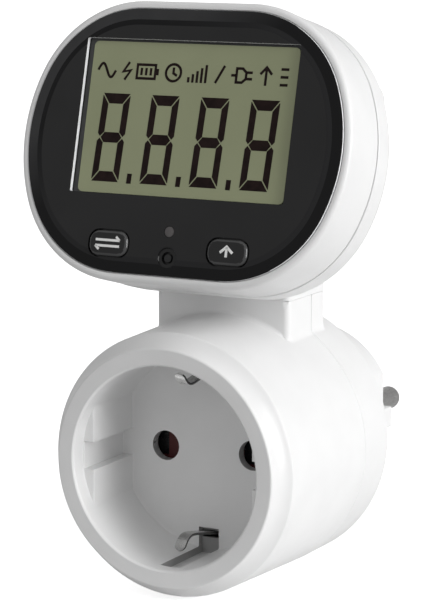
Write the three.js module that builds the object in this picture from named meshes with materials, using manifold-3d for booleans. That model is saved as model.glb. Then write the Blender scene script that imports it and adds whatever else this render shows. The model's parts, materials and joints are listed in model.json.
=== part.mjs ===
// Plug-in power meter: a round mains adapter with a socket in front and a plug behind,
// and a tilted display head on a square neck above it.
//
// Millimetres. +Z is up and +Y points into the wall. The origin is the centre of the
// plug's end face, so everything but the pins lies at negative Y.

import * as THREE from 'three';
import { mergeVertices } from 'three/addons/utils/BufferGeometryUtils.js';
import Module from 'manifold-3d';

const wasm = await Module();
wasm.setup();

// ---------------------------------------------------------------- driving dimensions

const GAP = 0.3;                  // clearance between pieces that rest on each other
const OVERCUT = 1;                // how far a cutting tool runs past the face that it opens
const FAR = 50;                   // a size that reaches past the whole object

// Round body, from the front ring back to the plug's end face
const BODY_DEPTH = 64;            // front ring to plug end face
const RING_Y = -BODY_DEPTH;
const BACK_Y = -20;               // flat back of the body; the plug boss stands out of it
const SEAM_Y = RING_Y + 33;       // joint between the front and rear housings
const RING_INNER_R = 19.9;        // mouth of the recess, outside its bevel
const RECESS_BEVEL = 0.5;
const RING_OUTER_R = 22.9;        // flat of the front ring
const RING_EDGE_R = 0.45;         // its rounded outer edge
const SHOULDER_R = 25.4;          // end of the shallow cove behind the ring
const SHOULDER_DEPTH = 4;
const SEAM_R = 26.45;             // widest point of the slightly tapered barrel
const WALL = 2;
const RIM_FILLET = 1;             // rounded back rim of the barrel

// Socket recess, 39 mm across, for a two-pin earthed plug
const RECESS_R = 19.5;
const RECESS_DEPTH = 18.2;
const FLOOR_Y = RING_Y + RECESS_DEPTH;
const FLOOR_THICKNESS = 2;
const FLOOR_BACK_Y = FLOOR_Y + FLOOR_THICKNESS;
const CUP_OUTER_R = 21.3;
const PIN_X = 9.5;                // pins are 19 mm apart
const PIN_HOLE_R = 2.94;
const KEY_X = 17;                 // flat faces of the keys at the sides of the recess
const KEY_SETBACK = 3.5;          // keys start this far behind the front ring
const KEY_GROOVE_HALF = 2.7;      // groove between the two keys of a side
const KEY_HALF_HEIGHT = 9.6;
const CUP_STEP = 2.5;             // thickness of the ring before the cup's outside begins

// Screw posts inside the body
const SCREW_XZ = 15.6;            // housing screws stand on a square of this half side
const SCREW_POST_R = 2.6;
const SCREW_BOSS_R = 2.8;
const SCREW_PILOT_R = 1.5;
const SCREW_CLEARANCE_R = 1.6;
const SCREW_COUNTERBORE_R = 2.3;
const SCREW_NOTCH_R = 3.1;        // room that the boards and the plug leave round a post
const CARRIER_SCREW_Z = 11;
const CARRIER_POST_R = 2.2;
const CARRIER_PILOT_R = 1.2;
const SHUTTER_POST_R = 1.5;

// Plug
const PLUG_R = 18.5;
const PLUG_FLAT_X = 16.2;
const PLUG_RIB_X = 18.1;
const PLUG_RIB_HALF = 2.1;
const PLUG_WALL = 2;
const PLUG_END_THICKNESS = 3;
const PLUG_FLANGE_R = 21;
const PLUG_FLANGE_THICKNESS = 2;
const PLUG_BORE_R = PLUG_R - PLUG_WALL - 1.2;
const PIN_R = 2.4;                // 4.8 mm pins
const PIN_LENGTH = 19;
const PIN_BOSS_R = 4.2;
const PIN_BOSS_Y = -8;            // front end of the bosses that hold the pins
const PIN_FLANGE_R = 3.4;
const PIN_FLANGE_THICKNESS = 1.6;
const PIN_TAIL_R = 1.4;           // the pin's thin end, through the power board

// Earth parts, all a strip 4.4 mm wide or less on the centre plane
const EARTH_Z = 17.6;
const EARTH_THICKNESS = 0.8;
const EARTH_HALF_WIDTH = 2.1;
const BRIDGE_Y = -33.6;
const CLIP_HALF_WIDTH = 1.2;
const CLIP_THICKNESS = 0.6;
const CLIP_SLOT_HALF = 2.2;
const CLIP_SLOT_SETBACK = 3;      // the slots start this far behind the front ring
const CLIP_SLOT_INNER_Z = 15.4;
const CLIP_SLOT_OUTER_Z = 22.6;
const CHANNEL_HALF_WIDTH = 2.5;   // grooves that the earth legs run in
const CHANNEL_INNER_Z = 16.9;
const CHANNEL_OUTER_Z = 22;

// Neck
const NECK_HALF_WIDTH = 14.6;
const NECK_FRONT_Y = RING_Y + 23.5;
const NECK_BACK_Y = RING_Y + 39.3;
const NECK_ROOT_Z = 18;
const NECK_TOP_Z = 29.5;
const NECK_CORNER_R = 1;
const NECK_BORE_CORNER_R = 0.5;
const NECK_WALL = 1.8;
const NECK_OVERLAP = 0.8;         // how deep the neck reaches into the barrel's wall
const NECK_BORE_FRONT_Y = NECK_FRONT_Y + NECK_WALL;
const NECK_BORE_BACK_Y = NECK_BACK_Y - NECK_WALL;

// Head, in its own frame: x to the right, y back from the face, z up along the face
const HEAD_TILT = THREE.MathUtils.degToRad(14.2);
const HEAD_POSITION = new THREE.Vector3(0, -57, 60.7);
const FACE_HALF_WIDTH = 33.3;
const FACE_HALF_HEIGHT = 25.2;
const FACE_SIDE_R = 31.5;
const FACE_CORNER_R = 21.2;
const BEZEL = 1.45;               // white rim around the black face
const REAR_STEP = 0.15;           // the rear shell stands this far outside the front one
const HEAD_SEAM_Y = 12;
const HEAD_DEPTH = 20.5;
const HEAD_BACK_FILLET = 4.5;
const HEAD_WALL = 1.7;
const PANEL_THICKNESS = 0.8;
const PANEL_CLEARANCE = 0.15;
const PANEL_LEDGE = 0.9;          // width of the shelf that the panel is glued to
const LEDGE_BACK_Y = 2.2;
const HEAD_POST_R = 2.4;
const HEAD_BOSS_R = 3.9;
const HEAD_SCREW_HOLE_R = 1.4;
const HEAD_COUNTERBORE_R = 2.7;
const HEAD_SCREW_SEAT = 1.8;      // thickness under a head screw
const HEAD_SCREW_HEIGHT = 1.6;
const FOOT_TOP_Z = 60;            // the foot's column runs up inside the head
const FOOT_SLOPE = THREE.MathUtils.degToRad(40);
const FOOT_SLOPE_Z = 44;
const DISPLAY_X = 0.55;           // the display sits slightly right of the middle
const WINDOW = { halfWidth: 23, bottom: -10.8, top: 19.15 };
const GLASS = { halfWidth: 23.45, bottom: -12.2, top: 19.45 };
const GLASS_LAP = -9.5;           // the front glass overlaps the zebra strip below this height
const BUTTON_X = 12.6;
const BUTTON_Z = -19.7;
const BUTTON_HALF_WIDTH = 4.15;
const BUTTON_HALF_HEIGHT = 2.4;
const BUTTON_TRAVEL = 0.4;
const RESET_Z = -21.6;
const RESET_R = 0.85;
const INDICATOR_Z = -16.7;
const INDICATOR_R = 0.85;
const STEM_END_Y = 2.25;          // how far the button stems reach towards their switches
const FLANGE_Y = [PANEL_THICKNESS + GAP, 1.7];
const BOARD_FRONT_Y = 6.4;
const BOARD_THICKNESS = 1.6;
const UPPER_POST = { x: 27.6, z: 12 };
const LOWER_POST = { x: 23.5, z: -16.3 };

// Boards and contacts inside the body
const CARRIER_Y = -40.3;
const SLEEVE_FRONT_Y = -38;
const SLEEVE_BACK_Y = -27.3;
const POWER_BOARD_Y = -26.6;
const POWER_BOARD_R = 20.3;
const CARRIER_R = 14.8;
const CARRIER_THICKNESS = 2;
const TOWER_R = 4.9;              // the carrier's towers around the contact sleeves
const SLEEVE_R = 3.3;
const SLEEVE_BORE_R = 2.5;
const SLEEVE_END_THICKNESS = 0.8;

// ---------------------------------------------------------------- materials

function plastic(color, roughness) {
  return new THREE.MeshStandardMaterial({ color, roughness, metalness: 0 });
}

function metal(color, roughness) {
  return new THREE.MeshStandardMaterial({ color, roughness, metalness: 1 });
}

const WHITE = plastic(0xf2f3f3, 0.35);
const GLOSS_BLACK = plastic(0x131315, 0.08);
const BLACK = plastic(0x1c1c1e, 0.4);
const RED = plastic(0x7c1f1b, 0.45);
const LCD_GREEN = plastic(0x7b7f64, 0.25);
const INDICATOR_GREY = plastic(0x6e6a6a, 0.3);
const BOARD_GREEN = plastic(0x1f5a34, 0.5);
const RUBBER_GREY = plastic(0x55565a, 0.8);
const CAPACITOR_YELLOW = plastic(0xc9a227, 0.4);
const CARRIER_GREY = plastic(0xd8d6cf, 0.5);
const RIBBON_GREY = plastic(0x8d9096, 0.6);
const NICKEL = metal(0xb9bbbd, 0.25);
const BRASS = metal(0xb89a55, 0.3);
const STEEL = metal(0x8b8f94, 0.35);

// ---------------------------------------------------------------- shapes

function box(x0, x1, y0, y1, z0, z1) {
  const geometry = new THREE.BoxGeometry(x1 - x0, y1 - y0, z1 - z0);
  return geometry.translate((x0 + x1) / 2, (y0 + y1) / 2, (z0 + z1) / 2);
}

// The same from two opposite corners in any order, in X and Z
function boxBetween(xs, y0, y1, zs) {
  const [x0, x1] = [...xs].sort((a, b) => a - b);
  const [z0, z1] = [...zs].sort((a, b) => a - b);
  return box(x0, x1, y0, y1, z0, z1);
}

// A round bar along Y
function bar(radius, y0, y1, x = 0, z = 0, sides = 20) {
  return new THREE.CylinderGeometry(radius, radius, y1 - y0, sides).translate(x, (y0 + y1) / 2, z);
}

// A profile of [radius, y] points turned about the Y axis
function turned(profile, sides = 48) {
  return new THREE.LatheGeometry(profile.map(([r, y]) => new THREE.Vector2(r, y)), sides);
}

// An outline drawn in X and Z, thickened along Y
function slab(shape, y0, y1, curveSegments = 6) {
  const geometry = new THREE.ExtrudeGeometry(shape, { depth: y1 - y0, bevelEnabled: false, curveSegments });
  return geometry.rotateX(Math.PI / 2).translate(0, y1, 0);
}

// An outline drawn in X and Y, thickened along Z
function pillar(shape, z0, z1, curveSegments = 3) {
  const geometry = new THREE.ExtrudeGeometry(shape, { depth: z1 - z0, bevelEnabled: false, curveSegments });
  return geometry.translate(0, 0, z0);
}

// A flat strip that follows [y, z] points, with its width along X
function strip(path, thickness, halfWidth) {
  const points = path.map(([y, z]) => new THREE.Vector2(y, z));
  const edges = [[], []];
  points.forEach((point, i) => {
    const before = points[Math.max(i - 1, 0)];
    const after = points[Math.min(i + 1, points.length - 1)];
    const inward = i > 0 ? point.clone().sub(before).normalize() : after.clone().sub(point).normalize();
    const outward = i < points.length - 1 ? after.clone().sub(point).normalize() : inward;
    const middle = inward.clone().add(outward).normalize();
    const reach = thickness / 2 / middle.dot(outward);
    const side = new THREE.Vector2(-middle.y, middle.x).multiplyScalar(reach);
    edges[0].push(point.clone().add(side));
    edges[1].unshift(point.clone().sub(side));
  });
  const shape = new THREE.Shape([...edges[0], ...edges[1]]);
  const geometry = new THREE.ExtrudeGeometry(shape, { depth: 2 * halfWidth, bevelEnabled: false });
  return geometry.rotateX(Math.PI / 2).rotateZ(Math.PI / 2).translate(-halfWidth, 0, 0);
}

function rectangle(x0, x1, y0, y1, radius) {
  const shape = new THREE.Shape();
  shape.moveTo(x0 + radius, y0);
  shape.lineTo(x1 - radius, y0);
  shape.absarc(x1 - radius, y0 + radius, radius, -Math.PI / 2, 0);
  shape.lineTo(x1, y1 - radius);
  shape.absarc(x1 - radius, y1 - radius, radius, 0, Math.PI / 2);
  shape.lineTo(x0 + radius, y1);
  shape.absarc(x0 + radius, y1 - radius, radius, Math.PI / 2, Math.PI);
  shape.lineTo(x0, y0 + radius);
  shape.absarc(x0 + radius, y0 + radius, radius, Math.PI, 1.5 * Math.PI);
  return shape;
}

function arcPoints(cx, cy, radius, from, to, steps) {
  const points = [];
  for (let i = 0; i < steps; i += 1) {
    const angle = from + (to - from) * i / steps;
    points.push(new THREE.Vector2(cx + radius * Math.cos(angle), cy + radius * Math.sin(angle)));
  }
  return points;
}

// The head's outline: flat top and bottom, gently bowed sides, large round corners.
// It is the black face's own outline at 0, and grows or shrinks evenly by the offset.
function headOutline(offset) {
  const halfWidth = FACE_HALF_WIDTH + offset;
  const halfHeight = FACE_HALF_HEIGHT + offset;
  const sideR = FACE_SIDE_R + offset;
  const cornerR = FACE_CORNER_R + offset;
  const turn = Math.asin((halfHeight - cornerR) / (sideR - cornerR));
  const sideX = halfWidth - sideR;
  const cornerX = sideX + (sideR - cornerR) * Math.cos(turn);
  const cornerZ = halfHeight - cornerR;
  const half = Math.PI / 2;
  return new THREE.Shape([
    ...arcPoints(sideX, 0, sideR, -turn, turn, 4),
    ...arcPoints(cornerX, cornerZ, cornerR, turn, half, 7),
    ...arcPoints(-cornerX, cornerZ, cornerR, half, Math.PI - turn, 7),
    ...arcPoints(-sideX, 0, sideR, Math.PI - turn, Math.PI + turn, 4),
    ...arcPoints(-cornerX, -cornerZ, cornerR, Math.PI + turn, 3 * half, 7),
    ...arcPoints(cornerX, -cornerZ, cornerR, 3 * half, 4 * half - turn, 7),
  ]);
}

// The head's outline thickened from the face to its back, with the back edge rounded
function roundedHeadBlock(offset, backY, fillet) {
  const shape = headOutline(offset - fillet);
  const frontY = fillet;
  const geometry = new THREE.ExtrudeGeometry(shape, {
    depth: backY - fillet - frontY,
    bevelThickness: fillet,
    bevelSize: fillet,
    bevelSegments: 3,
  });
  return geometry.rotateX(Math.PI / 2).translate(0, backY - fillet, 0);
}

// ---------------------------------------------------------------- joining and cutting

function signedVolume(positions, triangles) {
  const [a, b, c] = [new THREE.Vector3(), new THREE.Vector3(), new THREE.Vector3()];
  let volume = 0;
  for (let i = 0; i < triangles.length; i += 3) {
    a.fromArray(positions, 3 * triangles[i]);
    b.fromArray(positions, 3 * triangles[i + 1]);
    c.fromArray(positions, 3 * triangles[i + 2]);
    volume += a.dot(b.cross(c)) / 6;
  }
  return volume;
}

function toSolid(geometry) {
  const bare = geometry.clone();
  bare.deleteAttribute('normal');
  bare.deleteAttribute('uv');
  const merged = mergeVertices(bare, 1e-4);
  const vertProperties = new Float32Array(merged.attributes.position.array);
  const triangles = [];
  for (let i = 0; i < merged.index.count; i += 3) {
    const [a, b, c] = [0, 1, 2].map((k) => merged.index.getX(i + k));
    if (a !== b && b !== c && c !== a) triangles.push(a, b, c);
  }
  if (signedVolume(vertProperties, triangles) < 0) triangles.reverse();
  const triVerts = new Uint32Array(triangles);
  return new wasm.Manifold(new wasm.Mesh({ numProp: 3, vertProperties, triVerts }));
}

function toGeometry(solid) {
  const mesh = solid.getMesh();
  const geometry = new THREE.BufferGeometry();
  geometry.setAttribute('position', new THREE.BufferAttribute(new Float32Array(mesh.vertProperties), 3));
  geometry.setIndex(new THREE.BufferAttribute(new Uint32Array(mesh.triVerts), 1));
  geometry.computeVertexNormals();
  return geometry;
}

function join(first, ...others) {
  return toGeometry(others.reduce((solid, other) => solid.add(toSolid(other)), toSolid(first)));
}

function cut(first, ...tools) {
  return toGeometry(tools.reduce((solid, tool) => solid.subtract(toSolid(tool)), toSolid(first)));
}

function common(first, second) {
  return toGeometry(toSolid(first).intersect(toSolid(second)));
}

// ---------------------------------------------------------------- scene graph

const meter = new THREE.Group();
const head = new THREE.Group();
head.position.copy(HEAD_POSITION);
head.rotation.x = -HEAD_TILT;
head.updateMatrix();
meter.add(head);
const fromMeterToHead = head.matrix.clone().invert();

function piece(parent, name, geometry, material) {
  const mesh = new THREE.Mesh(toGeometry(toSolid(geometry)), material);
  mesh.name = name;
  parent.add(mesh);
}

function corners(x, z) {
  return [[x, z], [-x, z], [-x, -z], [x, -z]];
}

function postPlaces() {
  const { x: ux, z: uz } = UPPER_POST;
  const { x: lx, z: lz } = LOWER_POST;
  return [[ux, uz], [-ux, uz], [-lx, lz], [lx, lz]];
}

// ---------------------------------------------------------------- round body

function neckOutline(inset, y0, y1, radius) {
  const halfWidth = NECK_HALF_WIDTH - inset;
  return rectangle(-halfWidth, halfWidth, y0, y1, radius);
}

function neckBlock() {
  const outline = neckOutline(0, NECK_FRONT_Y, NECK_BACK_Y, NECK_CORNER_R);
  return pillar(outline, NECK_ROOT_Z, NECK_TOP_Z);
}

function neckPassage() {
  const outline = neckOutline(NECK_WALL, NECK_BORE_FRONT_Y, NECK_BORE_BACK_Y, NECK_BORE_CORNER_R);
  return pillar(outline, NECK_ROOT_Z - OVERCUT, NECK_TOP_Z + OVERCUT);
}

function barrelRadius(y) {
  const along = (y - RING_Y - SHOULDER_DEPTH) / (SEAM_Y - RING_Y - SHOULDER_DEPTH);
  return SHOULDER_R + (SEAM_R - SHOULDER_R) * along;
}

// From the ring's rounded edge along a shallow cove to a crisp crease at the barrel
function shoulderProfile() {
  const [edgeR, edgeY] = [RING_OUTER_R + RING_EDGE_R, RING_Y + RING_EDGE_R];
  const cove = new THREE.QuadraticBezierCurve(
    new THREE.Vector2(edgeR, edgeY),
    new THREE.Vector2(edgeR + 0.35, RING_Y + 0.6 * SHOULDER_DEPTH),
    new THREE.Vector2(SHOULDER_R, RING_Y + SHOULDER_DEPTH),
  );
  const softened = [edgeR - 0.3 * RING_EDGE_R, edgeY - 0.7 * RING_EDGE_R];
  return [[RING_OUTER_R, RING_Y], softened, ...cove.getPoints(4).map(({ x, y }) => [x, y])];
}

function recessKey(side) {
  const reach = CUP_OUTER_R - 0.2;
  const backY = FLOOR_Y + OVERCUT;
  const shape = new THREE.Shape();
  const halfAngle = Math.acos(KEY_X / reach);
  const middle = side > 0 ? 0 : Math.PI;
  shape.absarc(0, 0, reach, middle - halfAngle, middle + halfAngle);
  const key = slab(shape, RING_Y + KEY_SETBACK, backY, 6);
  const grooveX = [side * (KEY_X - OVERCUT), side * (RECESS_R - GAP)];
  const groove = boxBetween(grooveX, RING_Y, backY + OVERCUT, [-KEY_GROOVE_HALF, KEY_GROOVE_HALF]);
  const [above, below] = [1, -1]
    .map((end) => boxBetween([-FAR, FAR], RING_Y, backY + OVERCUT, [end * KEY_HALF_HEIGHT, end * FAR]));
  return cut(key, groove, above, below);
}

function clipSlot(side) {
  const frontY = RING_Y + CLIP_SLOT_SETBACK;
  const zs = [side * CLIP_SLOT_INNER_Z, side * CLIP_SLOT_OUTER_Z];
  return boxBetween([-CLIP_SLOT_HALF, CLIP_SLOT_HALF], frontY, FLOOR_BACK_Y + OVERCUT, zs);
}

// Bars along Y at the four housing screws
function screwBars(radius, y0, y1) {
  return corners(SCREW_XZ, SCREW_XZ).map(([x, z]) => bar(radius, y0, y1, x, z, 12));
}

function halfOfNeck(y0, y1) {
  const barrel = bar(barrelRadius(SEAM_Y) - NECK_OVERLAP, RING_Y - OVERCUT, 0);
  return cut(neckBlock(), box(-FAR, FAR, y0, y1, 0, FAR), barrel);
}

function frontHousing() {
  const cup = turned([
    [0, FLOOR_Y], [RECESS_R, FLOOR_Y], [RECESS_R, RING_Y + RECESS_BEVEL], [RING_INNER_R, RING_Y],
    ...shoulderProfile(),
    [SEAM_R, SEAM_Y], [SEAM_R - WALL, SEAM_Y], [SHOULDER_R - WALL, RING_Y + SHOULDER_DEPTH],
    [CUP_OUTER_R, RING_Y + CUP_STEP], [CUP_OUTER_R, FLOOR_BACK_Y], [0, FLOOR_BACK_Y],
  ]);
  const rootY = FLOOR_BACK_Y - OVERCUT;
  const screwPosts = screwBars(SCREW_POST_R, rootY, SEAM_Y - GAP);
  const carrierPosts = [1, -1]
    .map((side) => bar(CARRIER_POST_R, rootY, CARRIER_Y - GAP, 0, side * CARRIER_SCREW_Z, 16));
  const shutterPost = bar(SHUTTER_POST_R, rootY, CARRIER_Y + 1.5, 0, 0, 16);
  const posts = [...screwPosts, ...carrierPosts, shutterPost];
  const whole = join(cup, recessKey(1), recessKey(-1), halfOfNeck(SEAM_Y, 0), ...posts);
  const screwHoles = screwBars(SCREW_PILOT_R, FLOOR_BACK_Y + 1.5, SEAM_Y + OVERCUT);
  const carrierHoles = [1, -1]
    .map((side) => bar(CARRIER_PILOT_R, rootY, CARRIER_Y, 0, side * CARRIER_SCREW_Z, 12));
  const pinHoles = [1, -1]
    .map((side) => bar(PIN_HOLE_R, FLOOR_Y - OVERCUT, FLOOR_BACK_Y + OVERCUT, side * PIN_X, 0));
  return cut(whole, neckPassage(), clipSlot(1), clipSlot(-1), ...screwHoles, ...carrierHoles, ...pinHoles);
}

function rearHousing() {
  const seam = SEAM_Y + GAP / 2;
  const boreR = PLUG_R + GAP;
  const plateY = BACK_Y - WALL;
  const rim = [0, 1, 2].map((i) => {
    const angle = i * Math.PI / 4;
    return [SEAM_R - RIM_FILLET * (1 - Math.cos(angle)), BACK_Y - RIM_FILLET * (1 - Math.sin(angle))];
  });
  const shell = turned([
    [SEAM_R, seam], ...rim, [boreR, BACK_Y], [boreR, plateY],
    [SEAM_R - WALL, plateY], [SEAM_R - WALL, seam], [SEAM_R, seam],
  ]);
  const bosses = screwBars(SCREW_BOSS_R, SEAM_Y + GAP, plateY + GAP);
  const bore = bar(boreR, SEAM_Y, BACK_Y + OVERCUT, 0, 0, 48);
  const screwHoles = screwBars(SCREW_CLEARANCE_R, SEAM_Y - OVERCUT, BACK_Y + OVERCUT);
  const counterbores = screwBars(SCREW_COUNTERBORE_R, plateY - 2, BACK_Y + OVERCUT);
  const whole = cut(join(shell, halfOfNeck(-FAR, seam), ...bosses), neckPassage(), bore);
  return cut(whole, ...screwHoles, ...counterbores);
}

// The round boss that enters the wall socket: flats at the sides, each with a guide rib
function plugBody() {
  const outline = new THREE.Shape();
  const flatAngle = Math.acos(PLUG_FLAT_X / PLUG_R);
  outline.absarc(0, 0, PLUG_R, flatAngle, Math.PI - flatAngle);
  outline.absarc(0, 0, PLUG_R, Math.PI + flatAngle, 2 * Math.PI - flatAngle);
  const flangeBack = BACK_Y - WALL - GAP;
  const flangeFront = flangeBack - PLUG_FLANGE_THICKNESS;
  const cutFront = flangeFront - OVERCUT;
  const boss = slab(outline, flangeFront, 0, 12);
  const ribs = [1, -1].map((side) => {
    const xs = [side * (PLUG_FLAT_X - OVERCUT), side * PLUG_RIB_X];
    return boxBetween(xs, flangeFront, 0, [-PLUG_RIB_HALF, PLUG_RIB_HALF]);
  });
  const flange = bar(PLUG_FLANGE_R, flangeFront, flangeBack, 0, 0, 40);
  const hollow = bar(PLUG_BORE_R, cutFront, -PLUG_END_THICKNESS, 0, 0, 32);
  const pinBosses = [1, -1].map((side) => bar(PIN_BOSS_R, PIN_BOSS_Y, -1, side * PIN_X, 0, 20));
  const pinHoles = [1, -1]
    .map((side) => bar(PIN_R + GAP, PIN_BOSS_Y - OVERCUT, OVERCUT, side * PIN_X, 0));
  const channels = [1, -1].map((side) => {
    const zs = [side * CHANNEL_INNER_Z, side * CHANNEL_OUTER_Z];
    return boxBetween([-CHANNEL_HALF_WIDTH, CHANNEL_HALF_WIDTH], cutFront, 1 - PLUG_END_THICKNESS, zs);
  });
  const notches = screwBars(SCREW_NOTCH_R, cutFront, flangeBack + 0.1);
  const hollowed = cut(join(boss, ...ribs, flange), hollow, ...notches);
  return cut(join(hollowed, ...pinBosses), ...pinHoles, ...channels);
}

function plugPin() {
  const tip = [0, 1, 2, 3].map((i) => {
    const angle = i * Math.PI / 6;
    return [PIN_R * Math.cos(angle), PIN_LENGTH - PIN_R + PIN_R * Math.sin(angle)];
  });
  const tailY = POWER_BOARD_Y - 0.6;
  const flangeBack = PIN_BOSS_Y - GAP;
  const flangeFront = flangeBack - PIN_FLANGE_THICKNESS;
  return turned([
    [0, tailY], [PIN_TAIL_R, tailY], [PIN_TAIL_R, flangeFront], [PIN_FLANGE_R, flangeFront],
    [PIN_FLANGE_R, flangeBack], [PIN_R, flangeBack], ...tip,
  ], 16);
}

// A closed tube, slit along its sides so that it can grip a pin
function socketSleeve() {
  const endY = SLEEVE_BACK_Y - SLEEVE_END_THICKNESS;
  const sleeve = turned([
    [SLEEVE_BORE_R, SLEEVE_FRONT_Y], [SLEEVE_R, SLEEVE_FRONT_Y], [SLEEVE_R, SLEEVE_BACK_Y],
    [0, SLEEVE_BACK_Y], [0, endY], [SLEEVE_BORE_R, endY], [SLEEVE_BORE_R, SLEEVE_FRONT_Y],
  ], 16);
  return cut(sleeve, box(-0.5, 0.5, SLEEVE_FRONT_Y - OVERCUT, SLEEVE_BACK_Y - 2.5, -5, 5));
}

function contactCarrier() {
  const [frontY, plateBackY] = [CARRIER_Y, CARRIER_Y + CARRIER_THICKNESS];
  const cutFront = frontY - OVERCUT;
  const plate = bar(CARRIER_R, frontY, plateBackY, 0, 0, 32);
  const towers = [1, -1].map((side) => bar(TOWER_R, frontY, SLEEVE_BACK_Y - 3, side * PIN_X, 0));
  const bores = [1, -1].map((side) => bar(SLEEVE_R + GAP, SLEEVE_FRONT_Y - GAP, 0, side * PIN_X, 0));
  const mouths = [1, -1].map((side) => bar(PIN_HOLE_R, cutFront, 0, side * PIN_X, 0));
  const screwHoles = [1, -1]
    .map((side) => bar(1.3, cutFront, plateBackY + OVERCUT, 0, side * CARRIER_SCREW_Z, 12));
  const postHole = bar(SHUTTER_POST_R + GAP, cutFront, plateBackY + OVERCUT, 0, 0, 16);
  return cut(join(plate, ...towers), ...bores, ...mouths, ...screwHoles, postHole);
}

// A two-lobed disc that hides both pin holes until it is turned
function safetyShutter() {
  const lobeR = 13;
  const hubR = 3.4;
  const lobeAngle = THREE.MathUtils.degToRad(21);
  const hubAngle = THREE.MathUtils.degToRad(50);
  const frontY = FLOOR_BACK_Y + GAP;
  const shape = new THREE.Shape();
  shape.absarc(0, 0, lobeR, -lobeAngle, lobeAngle);
  shape.absarc(0, 0, hubR, hubAngle, Math.PI - hubAngle);
  shape.absarc(0, 0, lobeR, Math.PI - lobeAngle, Math.PI + lobeAngle);
  shape.absarc(0, 0, hubR, Math.PI + hubAngle, 2 * Math.PI - hubAngle);
  const plate = slab(shape, frontY, frontY + 1.5, 5);
  return cut(plate, bar(SHUTTER_POST_R + GAP, frontY - GAP, frontY + 2.7, 0, 0, 16));
}

class Helix extends THREE.Curve {
  constructor(radius, turns, y0, y1) {
    super();
    Object.assign(this, { radius, turns, y0, y1 });
  }

  getPoint(t, target = new THREE.Vector3()) {
    const angle = 2 * Math.PI * this.turns * t;
    const y = this.y0 + (this.y1 - this.y0) * t;
    return target.set(this.radius * Math.cos(angle), y, this.radius * Math.sin(angle));
  }
}

function coilSpring(radius, wireR, turns, y0, y1) {
  const section = new THREE.Shape(arcPoints(0, 0, wireR, 0, 2 * Math.PI, 6));
  const extrudePath = new Helix(radius, turns, y0, y1);
  return new THREE.ExtrudeGeometry(section, { extrudePath, steps: 16 * turns, bevelEnabled: false });
}

// Earth path: two legs from the socket clips to the plug's side contacts, joined by a bridge
function earthFrame() {
  const [z0, z1] = [EARTH_Z - EARTH_THICKNESS / 2, EARTH_Z + EARTH_THICKNESS / 2];
  const halfWidth = EARTH_HALF_WIDTH;
  const legFront = FLOOR_BACK_Y + 2.4;
  const legs = [1, -1].map((side) => {
    const zs = [side * z0, side * z1];
    return boxBetween([-halfWidth, halfWidth], legFront, -PLUG_END_THICKNESS, zs);
  });
  const bridge = box(-halfWidth, halfWidth, BRIDGE_Y - EARTH_THICKNESS, BRIDGE_Y, -EARTH_Z, EARTH_Z);
  return join(...legs, bridge);
}

function earthClip(side) {
  const root = FLOOR_BACK_Y + 1.8;
  const path = [
    [root, 17.4], [FLOOR_BACK_Y + 0.4, 16.7], [FLOOR_Y, 16.4], [RING_Y + 8.8, 15.0],
    [RING_Y + 7.4, 15.2], [RING_Y + 6.7, 16.2], [RING_Y + 6.6, 18.6],
  ];
  return strip(path.map(([y, z]) => [y, side * z]), CLIP_THICKNESS, CLIP_HALF_WIDTH);
}

function screw(headR, headHeight, shankR, length) {
  return turned([
    [0, 0], [headR - 0.5, 0], [headR, -0.5], [headR, -headHeight],
    [shankR, -headHeight], [shankR, -length + 0.8], [0, -length],
  ], 10);
}

piece(meter, 'front_housing', frontHousing(), WHITE);
piece(meter, 'rear_housing', rearHousing(), WHITE);
piece(meter, 'plug_body', plugBody(), WHITE);
piece(meter, 'line_pin', plugPin().translate(PIN_X, 0, 0), NICKEL);
piece(meter, 'neutral_pin', plugPin().translate(-PIN_X, 0, 0), NICKEL);
piece(meter, 'line_socket_contact', socketSleeve().translate(PIN_X, 0, 0), BRASS);
piece(meter, 'neutral_socket_contact', socketSleeve().translate(-PIN_X, 0, 0), BRASS);
piece(meter, 'contact_carrier', contactCarrier(), CARRIER_GREY);
piece(meter, 'safety_shutter', safetyShutter(), RED);
piece(meter, 'shutter_spring', coilSpring(2.6, 0.25, 1, FLOOR_BACK_Y + 2.3, FLOOR_BACK_Y + 3), STEEL);
piece(meter, 'earth_frame', earthFrame(), NICKEL);
piece(meter, 'earth_clip_top', earthClip(1), NICKEL);
piece(meter, 'earth_clip_bottom', earthClip(-1), NICKEL);

corners(SCREW_XZ, SCREW_XZ).forEach(([x, z], i) => {
  const geometry = screw(2, 1.6, 1.2, 14).translate(x, BACK_Y - WALL - 0.1, z);
  piece(meter, `housing_screw_${i + 1}`, geometry, STEEL);
});
[['top', 1], ['bottom', -1]].forEach(([name, side]) => {
  const geometry = screw(2.1, 1.2, 0.9, 6).translate(0, CARRIER_Y + 3.5, side * CARRIER_SCREW_Z);
  piece(meter, `carrier_screw_${name}`, geometry, STEEL);
});

// ---------------------------------------------------------------- power board

function powerBoard() {
  const disc = bar(POWER_BOARD_R, POWER_BOARD_Y, POWER_BOARD_Y + BOARD_THICKNESS, 0, 0, 32);
  const [y0, y1] = [POWER_BOARD_Y - OVERCUT, POWER_BOARD_Y + BOARD_THICKNESS + OVERCUT];
  const pinHoles = [1, -1].map((side) => bar(PIN_TAIL_R + GAP, y0, y1, side * PIN_X, 0, 12));
  const earthNotches = [1, -1].map((side) => {
    const zs = [side * (CHANNEL_INNER_Z - 0.1), side * CHANNEL_OUTER_Z];
    return boxBetween([-CHANNEL_HALF_WIDTH, CHANNEL_HALF_WIDTH], y0, y1, zs);
  });
  return cut(disc, ...pinHoles, ...screwBars(SCREW_NOTCH_R, y0, y1), ...earthNotches);
}

// A part soldered to the front of the power board, as a box on it
function boardPart(x0, x1, z0, z1, height) {
  const back = POWER_BOARD_Y - GAP;
  return box(x0, x1, back - height, back, z0, z1);
}

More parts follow.
